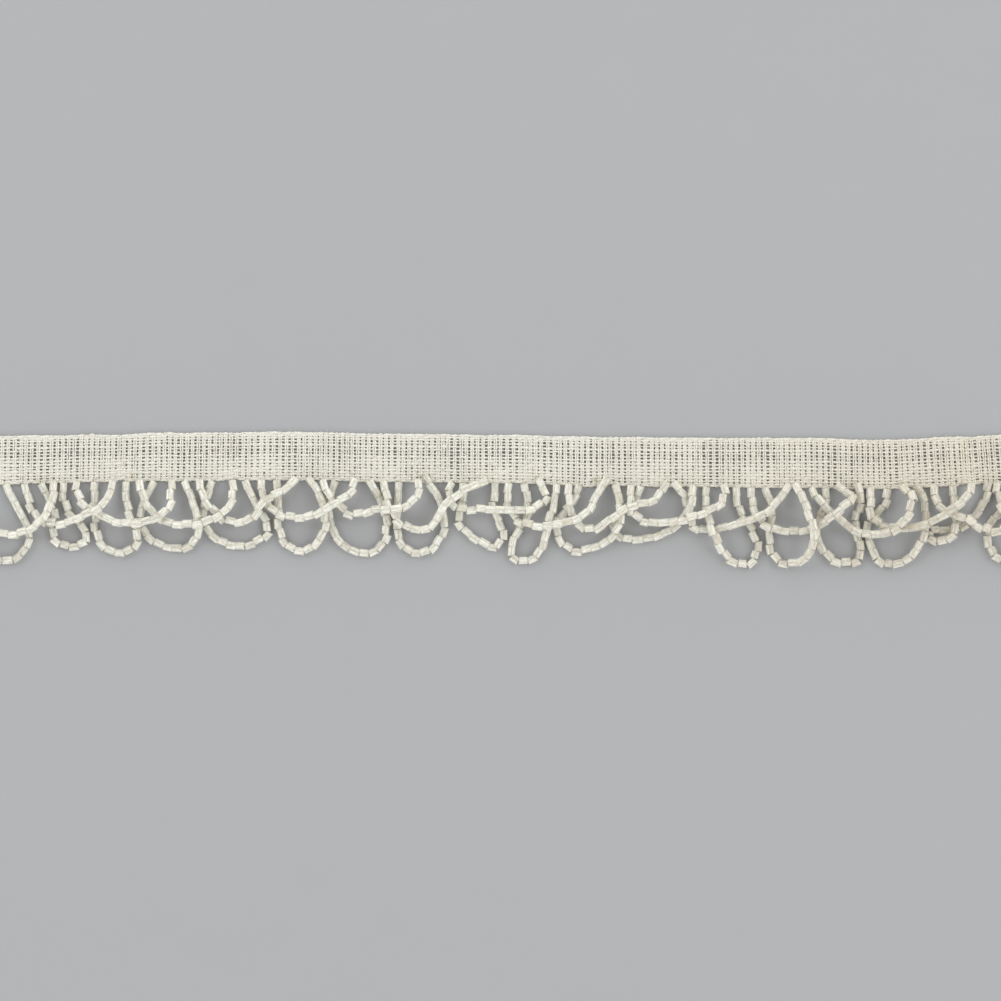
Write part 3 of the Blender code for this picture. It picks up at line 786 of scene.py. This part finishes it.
class Bundle:
    """The corners, faces and attributes of many small parts, gathered into one mesh."""

    def __init__(self):
        self.corners, self.quads, self.places, self.tints = [], [], [], []
        self.count = 0

    def add(self, corners, quads, places, tints):
        """Add a part. The tints are one number for the part or one for each corner."""
        self.corners.append(corners)
        self.quads.append(quads + self.count)
        self.places.append(places)
        self.tints.append(numpy.broadcast_to(tints, len(corners)))
        self.count += len(corners)

    def make(self, name, material, sharp_angle=None):
        """Return an object in metres, shifted into the frame of the solids."""
        corners = (numpy.concatenate(self.corners) + place_of_object()) * METRES
        quads = numpy.concatenate(self.quads)
        mesh = bpy.data.meshes.new(name)
        mesh.from_pydata(corners.tolist(), [], quads.tolist())
        mesh.polygons.foreach_set("use_smooth", numpy.ones(len(quads), dtype=bool))
        if sharp_angle is not None:
            mesh.set_sharp_from_angle(angle=sharp_angle)
        place = mesh.attributes.new("part_place", "FLOAT_VECTOR", "POINT")
        place.data.foreach_set("vector", numpy.concatenate(self.places).astype(numpy.float32).ravel())
        numbers = {
            "part_tint": numpy.concatenate(self.tints),
            "part_soil": soil_at(numpy.concatenate(self.corners)),
        }
        for attribute_name, values in numbers.items():
            attribute = mesh.attributes.new(attribute_name, "FLOAT", "POINT")
            attribute.data.foreach_set("value", values.astype(numpy.float32))
        mesh.materials.append(material)
        mesh.update()
        return new_object(name, mesh)


class Signal:
    """An output of a material's nodes. Arithmetic on it adds Math nodes."""

    def __init__(self, finish, socket):
        self.finish = finish
        self.socket = socket

    def __add__(self, other):
        return self.finish.maths("ADD", self, other)

    def __radd__(self, other):
        return self.finish.maths("ADD", other, self)

    def __sub__(self, other):
        return self.finish.maths("SUBTRACT", self, other)

    def __rsub__(self, other):
        return self.finish.maths("SUBTRACT", other, self)

    def __mul__(self, other):
        return self.finish.maths("MULTIPLY", self, other)

    def __rmul__(self, other):
        return self.finish.maths("MULTIPLY", other, self)


class Finish:
    """The nodes of a material or of a world."""

    def __init__(self, owner):
        self.owner = owner
        owner.use_nodes = True
        self.tree = owner.node_tree

    def node(self, kind, settings=None, sockets=None, output=0):
        """Add a node of a kind, with its settings made first and then its sockets set or linked."""
        made = self.tree.nodes.new(kind)
        for setting, value in (settings or {}).items():
            setattr(made, setting, value)
        for socket, value in (sockets or {}).items():
            self.put(made.inputs[socket], value)
        return Signal(self, made.outputs[output])

    def put(self, socket, value):
        """Link a signal to a socket, or set the socket to a value."""
        if isinstance(value, Signal):
            self.tree.links.new(value.socket, socket)
        elif isinstance(value, tuple) and socket.type == "RGBA":
            socket.default_value = (*value, 1.0)
        else:
            socket.default_value = value

    def feed(self, node, **values):
        """Set or link sockets of a node that is there already, named with underlines for spaces."""
        for name, value in values.items():
            self.put(self.tree.nodes[node].inputs[name.replace("_", " ")], value)

    def maths(self, operation, *numbers):
        """Return what a Math node makes of one number or two."""
        return self.node("ShaderNodeMath", {"operation": operation}, dict(enumerate(numbers)))

    def attribute(self, name, output):
        """Return a number or a vector that each corner of the mesh carries."""
        return self.node("ShaderNodeAttribute", {"attribute_name": name}, output=output)

    def part_of_vector(self, vector):
        """Return the three numbers of a vector."""
        split = self.node("ShaderNodeSeparateXYZ", sockets={0: vector})
        return [Signal(self, output) for output in split.socket.node.outputs]

    def vector_of(self, x, y, z):
        """Return a vector of three numbers."""
        return self.node("ShaderNodeCombineXYZ", sockets={0: x, 1: y, 2: z})

    def step_between(self, value, low, high):
        """Return 0 where a number is under low, 1 over high, and an eased value between."""
        return self.node(
            "ShaderNodeMapRange", {"interpolation_type": "SMOOTHSTEP"},
            {"Value": value, "From Min": low, "From Max": high})

    def noise(self, vector, scale, detail, roughness, fourth=None):
        """Return a noise about 0.5, in three dimensions or in four."""
        sockets = {"Vector": vector, "Scale": scale, "Detail": detail, "Roughness": roughness}
        if fourth is None:
            return self.node("ShaderNodeTexNoise", {"noise_dimensions": "3D"}, sockets)
        return self.node("ShaderNodeTexNoise", {"noise_dimensions": "4D"}, {**sockets, "W": fourth})

    def grain_of(self, grain, place, number):
        """Return a noise that is drawn out along a part, from a place on the part and the part's number."""
        along, across, upward = place
        vector = self.vector_of(along * grain.along, across * grain.around, upward * grain.around)
        return self.noise(vector, grain.scale, grain.detail, grain.roughness, number)

    def blend(self, factor, first, second, mode="MIX"):
        """Return a mix of two colours, which are the seventh and eighth inputs of its node."""
        return self.node(
            "ShaderNodeMix", {"data_type": "RGBA", "blend_type": mode},
            {0: factor, 6: first, 7: second}, output=2)

    def lit(self, colour, brightness):
        """Return a colour made brighter or darker by a number."""
        return self.blend(1.0, colour, self.vector_of(brightness, brightness, brightness), "MULTIPLY")

    def bump(self, height, distance, strength):
        """Return a bump's normal for a height between 0 and 1."""
        return self.node(
            "ShaderNodeBump", sockets={"Strength": strength, "Distance": distance, "Height": height})


def ivory_bead_finish(settings):
    """Return the finish of the beads: satin ivory glass with streaks along it, partly painted highlight
    lines, and darker ends with painted shade on their rims.
    """
    finish = Finish(bpy.data.materials.new("ivory_beads"))
    place = finish.part_of_vector(finish.attribute("part_place", "Vector"))
    share, across, upward = place
    tint = finish.attribute("part_tint", "Fac")
    own_number = tint * BEADS_APART
    broad = finish.grain_of(BROAD_STREAKS, place, own_number)
    fine = finish.grain_of(FINE_STREAKS, place, own_number + FINE_APART)
    cloud = finish.grain_of(CLOUDS, place, own_number + CLOUDS_APART)
    warmth = finish.grain_of(WARM_PATCHES, place, own_number + WARM_APART)
    streak = 0.45 * broad + 0.55 * fine
    line = finish.step_between(broad, 0.38, 0.62)
    from_middle = finish.maths("ABSOLUTE", share)
    outward = finish.maths("SQRT", across * across + upward * upward)
    rim = finish.step_between(from_middle, 0.93, 0.985) * finish.step_between(outward, 0.7, 1.0)
    near_end = finish.step_between(from_middle, 0.62, 0.95)
    dulled = finish.step_between(tint, 0.55, 1.05)
    yellowed = finish.step_between(warmth, 0.46, 0.68)
    base = finish.blend(dulled * BEAD_DULLING, tuple(settings.colour), tuple(settings.dull_colour))
    base = finish.blend(yellowed * BEAD_WARMING, base, tuple(settings.warm_colour))
    aged = finish.step_between(finish.attribute("part_soil", "Fac"), 0.0, 0.26)
    base = finish.blend(aged, base, AGED_GLASS, "MULTIPLY")
    # The streaks and lines are partly the glass's own streaks and partly painted highlight lines, the clouds
    # its own uneven tone
    brightness = 1.0 + settings.streaks * (streak - 0.5) * 2.0
    brightness = brightness + CLOUD_CONTRAST * (cloud - 0.5) + LINE_CONTRAST * (line - 0.5)
    # Darker and warmer in patches towards each end, and painted shade on the rims where beads meet
    darkened = finish.blend(near_end * BEAD_END_DARKENING * cloud, finish.lit(base, brightness), DARKER_END)
    finish.feed(
        "Principled BSDF",
        Base_Color=finish.blend(rim * BEAD_END_DARKENING, darkened, JOINT_SHADE),
        Roughness=0.26 + 0.24 * streak + 0.15 * rim,
        Normal=finish.bump(streak + 0.4 * cloud, distance=0.00008, strength=0.7),
        Specular_IOR_Level=0.5,
        Coat_Weight=0.25,
        Coat_Roughness=0.2,
        Sheen_Weight=0.6,
        Sheen_Roughness=0.4)
    return finish.owner


def cotton_finish(name, colour, stain_colour, stains, twist_pitch):
    """Return the finish of a cotton thread: two plies twisted together, fibres and patches of age, with
    painted shade between the plies, on the flanks and low in the weave, and a painted highlight on the
    crowns.
    """
    finish = Finish(bpy.data.materials.new(name))
    place = finish.part_of_vector(finish.attribute("part_place", "Vector"))
    travelled, across, upward = place
    tint = finish.attribute("part_tint", "Fac")
    wound = travelled * (2 * math.pi / twist_pitch)
    double_sine = 2.0 * across * upward
    double_cosine = across * across - upward * upward
    turned = double_sine * finish.maths("COSINE", wound) + double_cosine * finish.maths("SINE", wound)
    # Besides the bump, the twist of the plies gives painted shade in the crevices between them
    ply = 0.5 + 0.5 * turned
    fibres = finish.grain_of(COTTON_FIBRES, place, tint * THREADS_APART)
    where = finish.node("ShaderNodeTexCoord", output="Object")
    stain = finish.step_between(finish.noise(where, *COTTON_STAINS), 0.60, 0.78) * stains
    speck = finish.step_between(finish.noise(where, *COTTON_SPECKS), 0.70, 0.78) * stains
    soil = finish.attribute("part_soil", "Fac") * (0.6 + 0.8 * fibres)
    # Painted shade on the flanks of the threads and low down in the weave
    to_top = finish.maths("ABSOLUTE", upward)
    height = finish.part_of_vector(where)[2]
    low_down = 1.0 - finish.step_between(height, *WEAVE_SHADE_ENDS)
    in_weave = (1.0 - finish.step_between(to_top, 0.05, 0.70)) * low_down
    flank = 1.0 - finish.step_between(to_top, 0.05, 0.75)
    # A painted highlight on the crowns of the threads
    crown = finish.step_between(upward, 0.3, 0.87)
    brightness = 0.92 + 0.10 * (fibres - 0.5) + 0.04 * ply + 0.04 * tint + 0.05 * crown
    brightness = brightness * (1.0 - WEAVE_SHADE * in_weave) * (1.0 - FLANK_SHADE * flank)
    stained = finish.blend(stain * STAIN_COVER, finish.lit(colour, brightness), stain_colour)
    darkened = finish.blend(soil * SOIL_COVER, stained, stain_colour)
    darkest = finish.step_between(soil, 0.5, 1.0)
    spotted = finish.blend(darkest * DARK_SPOT_COVER, darkened, DARK_SPOT)
    finish.feed(
        "Principled BSDF",
        Base_Color=finish.blend(speck * SPECK_COVER, spotted, stain_colour),
        Roughness=0.82 + 0.12 * fibres,
        Normal=finish.bump(ply + 0.5 * fibres, distance=0.00004, strength=0.5),
        Specular_IOR_Level=0.25,
        Sheen_Weight=0.25,
        Sheen_Roughness=0.5)
    return finish.owner


def waves_at(waves, along, across):
    """Return the sum of some waves at a place along the tape, and at a share of its width or a row."""
    return sum(
        wave.strength * math.sin(along * wave.along + wave.start + wave.across * across) for wave in waves)


def pair_places(chance):
    """Return where the pairs of threads cross the tape, as places along it."""
    count = round(TAPE_LENGTH / PAIR_PITCH)
    scatter = chance.normal(0.0, PAIR_PITCH_SCATTER, count - 1)
    gaps = PAIR_PITCH + numpy.clip(scatter, *PAIR_PITCH_LIMITS)
    ends = PAIR_PITCH / 2
    for _ in range(2):
        middles = ends + numpy.cumsum(gaps) - gaps / 2
        for wide in WIDE_GAPS_AT:
            nearest = int(numpy.argmin(abs(middles - wide)))
            gaps[nearest] = PAIR_PITCH + WIDE_GAP
        gaps *= (TAPE_LENGTH - 2 * ends) / gaps.sum()
    return ends + numpy.concatenate([[0.0], numpy.cumsum(gaps)])


def pull_at(along, pulls):
    """Return how far an edge is pulled up at a place along the tape."""
    return sum(pull.rise * math.exp(-(((along - pull.along) / pull.half_width) ** 2)) for pull in pulls)


def row_height(row, along):
    """Return where a thread along the tape runs, as a height over the line."""
    share = WARP_ROWS[row].share
    upper = tape_edge(along, "upper") + pull_at(along, UPPER_PULLS) * (1 - share) ** UPPER_PULL_FADE
    lower = tape_edge(along, "lower") + pull_at(along, LOWER_PULLS) * share**LOWER_PULL_FADE
    return upper + (lower - upper) * share + waves_at(WANDER, along, row)


def lean_at(along, share):
    """Return how far a pair has leant to the right, at a share of the tape's width from its upper edge."""
    return float(numpy.interp(along, LEANS_ALONG, LEANS)) * share


def weft_bundle(places, chance):
    """Return the thread that goes to and fro across the tape, in pairs."""
    course = []
    upper_to_lower = range(len(WARP_ROWS))
    for pair, middle in enumerate(places):
        spread = PAIR_SPACING + chance.normal(0.0, PLACE_SCATTER)
        slit_row = chance.uniform(*SLIT_ROWS)
        slit = max(0.0, chance.normal(0.0, SLIT_SCATTER))
        bulge = chance.normal(0.0, EDGE_TURN_SCATTER)
        fullness = 1 + chance.normal(0.0, FULLNESS_SCATTER)
        for going_up in (True, False):
            side = -0.5 if going_up else 0.5
            run = []
            for row in reversed(upper_to_lower) if going_up else upper_to_lower:
                share = WARP_ROWS[row].share
                apart = spread + slit * math.exp(-(((row - slit_row) / SLIT_REACH) ** 2))
                along = middle + side * apart + lean_at(middle, share) + chance.normal(0.0, PLACE_SCATTER)
                over = 1 if (pair + row) % 2 else -1
                width = WARP_ROWS[row].weft_half_width * fullness
                thinning = WEFT_THINNING * waves_at(OPENNESS, along, share)
                width *= 1 - thinning + chance.normal(0.0, WEFT_UNEVENNESS)
                run.append((along, row_height(row, along), WEAVE_MIDDLE + over * CRIMP, width))
            for before, after in zip(run, run[1:]):
                course.append(before)
                course.append(tuple((a + b) / 2 for a, b in zip(before, after)))
            course.append(run[-1])
            along, height, _, width = run[-1]
            if going_up:
                turn = height + EDGE_TURN + bulge
                course.append((along + UPPER_TURN_INSET, turn, WEAVE_MIDDLE, width))
                course.append((middle + spread / 2 - UPPER_TURN_INSET, turn, WEAVE_MIDDLE, width))
            else:
                turn = height - EDGE_TURN - bulge
                course.append((along + LOWER_TURN_INSET, turn, WEAVE_MIDDLE, width))
                if pair + 1 < len(places):
                    onward = places[pair + 1] + lean_at(places[pair + 1], 1.0) - PAIR_SPACING / 2
                    course.append((onward - LOWER_TURN_INSET, turn, WEAVE_MIDDLE, width))
    course = numpy.array(course)
    course[:, 0] = numpy.clip(course[:, 0], WEFT_INSET, TAPE_LENGTH - WEFT_INSET)
    corners, quads, parts = tube(course[:, :3], course[:, 3], THREAD_HALF_HEIGHT)
    bundle = Bundle()
    bundle.add(corners, quads, parts, 0.5 + 0.5 * numpy.sin(parts[:, 0] * TINT_WAVE))
    return bundle


def warp_course(row, places, chance):
    """Return the path and the half widths of one thread along the tape."""
    share, half_width, _ = WARP_ROWS[row]
    path, widths = [], []

    def add(along, height, rise, unevenness):
        """Add a place to the path, unless it is hardly further along than the last one."""
        along = min(max(along, WARP_INSET), TAPE_LENGTH - WARP_INSET)
        if path and along < path[-1][0] + LEAST_ADVANCE:
            return
        path.append((along, row_height(row, along) + rise + chance.normal(0.0, PLACE_SCATTER), height))
        thickening = 1 - WARP_THICKENING * waves_at(OPENNESS, along, share) + chance.normal(0.0, unevenness)
        widths.append(half_width * min(max(thickening, THINNEST), THICKEST))

    add(0.0, WEAVE_MIDDLE, 0.0, UNEVEN_ON_TOP)
    for pair, middle in enumerate(places):
        over = -1 if (pair + row) % 2 else 1
        crossing = middle + lean_at(middle, share)
        slant = over * (FLOAT_SLANT + SLANT_WHERE_LEANING * max(0.0, lean_at(middle, 1.0)))
        for part_way, height in FLOAT_SHAPE:
            add(crossing + part_way * PAIR_SPACING / 2, WEAVE_MIDDLE + over * height * CRIMP,
                part_way * slant, UNEVEN_ON_TOP)
        add(crossing + PAIR_PITCH / 2, WEAVE_MIDDLE, 0.0, UNEVEN_AT_GAPS)
    return path, widths


def warp_bundle(places, chance):
    """Return the threads that run along the tape, over and under the pairs."""
    bundle = Bundle()
    for row in range(len(WARP_ROWS)):
        tint = chance.uniform()
        path, widths = warp_course(row, places, chance)
        bundle.add(*tube(path, widths, THREAD_HALF_HEIGHT), tint)
    return bundle


def fibre_bundle(chance):
    """Return the loose fibres that stand out from the tape's edges."""
    bundle = Bundle()
    thickness = numpy.linspace(*FIBRE_RADII, FIBRE_STEPS + 1)
    for _ in range(FIBRES):
        along = chance.uniform(FIBRE_INSET, TAPE_LENGTH - FIBRE_INSET)
        side, outward = ("upper", 1) if chance.uniform() < 0.5 else ("lower", -1)
        length = chance.uniform(*FIBRE_LENGTHS)
        heading = math.pi / 2 * outward + chance.normal(0.0, FIBRE_SPREAD)
        root = tape_edge(along, side) - FIBRE_ROOT * outward
        point = numpy.array([along, root, chance.uniform(*FIBRE_ROOT_HEIGHTS)])
        path = [point]
        for _ in range(FIBRE_STEPS):
            heading += chance.normal(0.0, FIBRE_CURL)
            step = numpy.array([math.cos(heading), math.sin(heading), chance.normal(FIBRE_DROOP, FIBRE_LIFT)])
            point = point + step * length / FIBRE_STEPS
            point[2] = max(point[2], FIBRE_LEAST_HEIGHT)
            path.append(point)
        bundle.add(*tube(path, thickness, thickness), chance.uniform())
    return bundle


class FRINGE_OT_string_beads(bpy.types.Operator):
    """Lay the wide and the long loops of tube beads"""

    bl_idname = "fringe.string_beads"
    bl_label = "String the beads"

    def execute(self, context):
        settings = context.scene.fringe_beads
        radius = settings.radius / METRES
        finish = ivory_bead_finish(settings)
        quads = ring_quads(BEAD_RINGS, BEAD_SIDES, closed=True)
        corners_per_bead = BEAD_RINGS * BEAD_SIDES
        for kind in ("wide", "long"):
            chance = numpy.random.default_rng(SEEDS[kind])
            bundle = Bundle()
            for strand, points in laid_strands(radius):
                if strand.kind != kind:
                    continue
                corners, places, tints = beads_of(
                    strand, points, radius, settings.hole_radius / METRES, chance)
                beads = len(corners) // corners_per_bead
                faces = numpy.concatenate([quads + bead * corners_per_bead for bead in range(beads)])
                bundle.add(corners, faces, places, tints)
            piece = bundle.make(kind + "_loops", finish, SHARP_EDGE)
            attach(piece, "root")
            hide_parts("bead_fringe")
        return {"FINISHED"}


class FRINGE_OT_run_thread(bpy.types.Operator):
    """Run the thread through the beads of every loop and into the tape"""

    bl_idname = "fringe.run_thread"
    bl_label = "Run the thread"

    def execute(self, context):
        settings = context.scene.fringe_thread
        radius = settings.radius / METRES
        finish = cotton_finish(
            "stringing_thread", tuple(settings.colour), THREAD_STAIN, THREAD_STAIN_STRENGTH, THREAD_TWIST)
        bundle = Bundle()
        chance = numpy.random.default_rng(SEEDS["thread"])
        for strand, points in laid_strands(context.scene.fringe_beads.radius / METRES):
            into_tape = THREAD_INTO_TAPE_BELOW_BEAD if strand.reaches_tape else THREAD_INTO_TAPE
            start = (points[0][0], points[0][1] + THREAD_INTO_TAPE, WEAVE_MIDDLE)
            end = (points[-1][0], points[-1][1] + into_tape, WEAVE_MIDDLE)
            bundle.add(*tube([start, *points, end], radius, radius), chance.uniform())
        piece = bundle.make("loop_thread", finish)
        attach(piece, "root")
        return {"FINISHED"}


class FRINGE_OT_weave_tape(bpy.types.Operator):
    """Weave the tape thread by thread, with its loose fibres"""

    bl_idname = "fringe.weave_tape"
    bl_label = "Weave the tape"

    def execute(self, context):
        settings = context.scene.fringe_tape
        finish = cotton_finish(
            "cotton_tape", tuple(settings.colour), tuple(settings.stain_colour), settings.stains, TAPE_TWIST)
        chance = numpy.random.default_rng(SEEDS["tape"])
        places = pair_places(chance)
        weft = weft_bundle(places, chance).make("tape_weft", finish)
        warp = warp_bundle(places, chance).make("tape_warp", finish)
        fibres = fibre_bundle(chance).make("tape_fibres", finish)
        for piece in (weft, warp, fibres):
            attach(piece, "root")
        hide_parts("tape")
        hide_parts("tape")
        return {"FINISHED"}


def make_floor(colour):
    """Make the floor, with a faint mottle."""
    finish = Finish(bpy.data.materials.new("studio_floor"))
    mottle = finish.noise(finish.node("ShaderNodeTexCoord", output="Object"), *FLOOR_MOTTLE)
    darker = tuple(value * FLOOR_MOTTLE_SHADE for value in colour)
    finish.feed(
        "Principled BSDF",
        Base_Color=finish.blend(mottle, tuple(colour), darker),
        Roughness=0.85 + 0.1 * mottle)
    corners = [(x * FLOOR_REACH, y * FLOOR_REACH, 0.0) for x, y in ((-1, -1), (1, -1), (1, 1), (-1, 1))]
    mesh = bpy.data.meshes.new("studio_floor")
    mesh.from_pydata(corners, [], [(0, 1, 2, 3)])
    mesh.materials.append(finish.owner)
    floor = new_object("studio_floor", mesh)


def make_sky(settings):
    """Make the even light, which is stronger from the sides and kept off around the camera."""
    sky = Finish(bpy.data.worlds.new("studio_world"))
    upward = sky.part_of_vector(sky.node("ShaderNodeTexCoord", output="Generated"))[2]
    low = 1.0 - sky.step_between(upward, 0.0, 0.9)
    behind_camera = sky.step_between(upward, 0.80, 0.95)
    brightness = settings.sky_light * (1.0 + settings.side_light * low)
    shaded = brightness * (1.0 - settings.overhead_shade * behind_camera)
    sky.feed("Background", Color=SKY_COLOUR, Strength=shaded)
    bpy.context.scene.world = sky.owner


def make_lamps(power):
    """Make the soft lamps at both sides, turned towards the fringe."""
    for name, place in LAMPS.items():
        lamp_data = bpy.data.lights.new(name, "AREA")
        lamp_data.shape = "RECTANGLE"
        lamp_data.size = LAMP_WIDTH
        lamp_data.size_y = LAMP_HEIGHT
        lamp_data.energy = power
        lamp_data.color = LAMP_COLOUR
        lamp = new_object(name, lamp_data)
        lamp.location = place
        lamp.rotation_euler = (-lamp.location).to_track_quat("-Z", "Y").to_euler()


def make_camera(settings):
    """Make the camera, which looks straight down at the part of the fringe that the photograph shows."""
    camera_data = bpy.data.cameras.new("photo_camera")
    camera_data.sensor_width = SENSOR_WIDTH
    camera_data.lens = SENSOR_WIDTH * settings.camera_height / settings.view_width
    camera_data.clip_end = FARTHEST_SEEN
    camera = new_object("photo_camera", camera_data)
    x, y, _ = (place_of_object() + VIEW_MIDDLE) * METRES
    camera.location = (x, y, settings.camera_height)
    bpy.context.scene.camera = camera


class FRINGE_OT_set_studio(bpy.types.Operator):
    """Set the floor, the soft light and the camera over the fringe"""

    bl_idname = "fringe.set_studio"
    bl_label = "Set the studio"

    def execute(self, context):
        settings = context.scene.fringe_studio
        make_floor(settings.floor_colour)
        make_sky(settings)
        make_lamps(settings.lamp_power)
        make_camera(settings)
        context.scene.view_settings.view_transform = "Standard"
        return {"FINISHED"}


class FRINGE_PT_sidebar(bpy.types.Panel):
    """The settings of the fringe and the operators that make it"""

    bl_idname = "FRINGE_PT_sidebar"
    bl_label = "Beaded loop fringe"
    bl_space_type = "VIEW_3D"
    bl_region_type = "UI"
    bl_category = "Fringe"

    def draw(self, context):
        for name, _, operator in STEPS:
            group = getattr(context.scene, name)
            box = self.layout.box()
            for setting in group.bl_rna.properties:
                if setting.identifier not in ("rna_type", "name"):
                    box.prop(group, setting.identifier)
            box.operator(operator.bl_idname)


# The name of each group of settings on the scene, its class and the operator that uses it
STEPS = [
    ("fringe_studio", StudioSettings, FRINGE_OT_set_studio),
    ("fringe_beads", BeadSettings, FRINGE_OT_string_beads),
    ("fringe_thread", ThreadSettings, FRINGE_OT_run_thread),
    ("fringe_tape", TapeSettings, FRINGE_OT_weave_tape),
]


def register():
    """Register the classes and give the scene their settings."""
    for name, group, operator in STEPS:
        bpy.utils.register_class(group)
        bpy.utils.register_class(operator)
        setattr(bpy.types.Scene, name, bpy.props.PointerProperty(type=group))
    bpy.utils.register_class(FRINGE_PT_sidebar)


def unregister():
    """Take the settings and the classes away again."""
    bpy.utils.unregister_class(FRINGE_PT_sidebar)
    for name, group, operator in reversed(STEPS):
        delattr(bpy.types.Scene, name)
        bpy.utils.unregister_class(operator)
        bpy.utils.unregister_class(group)


def main():
    """Make every piece and the studio."""
    register()
    bpy.ops.fringe.set_studio()
    bpy.ops.fringe.string_beads()
    bpy.ops.fringe.run_thread()
    bpy.ops.fringe.weave_tape()
    bpy.context.view_layer.update()


if __name__ == "__main__":
    main()
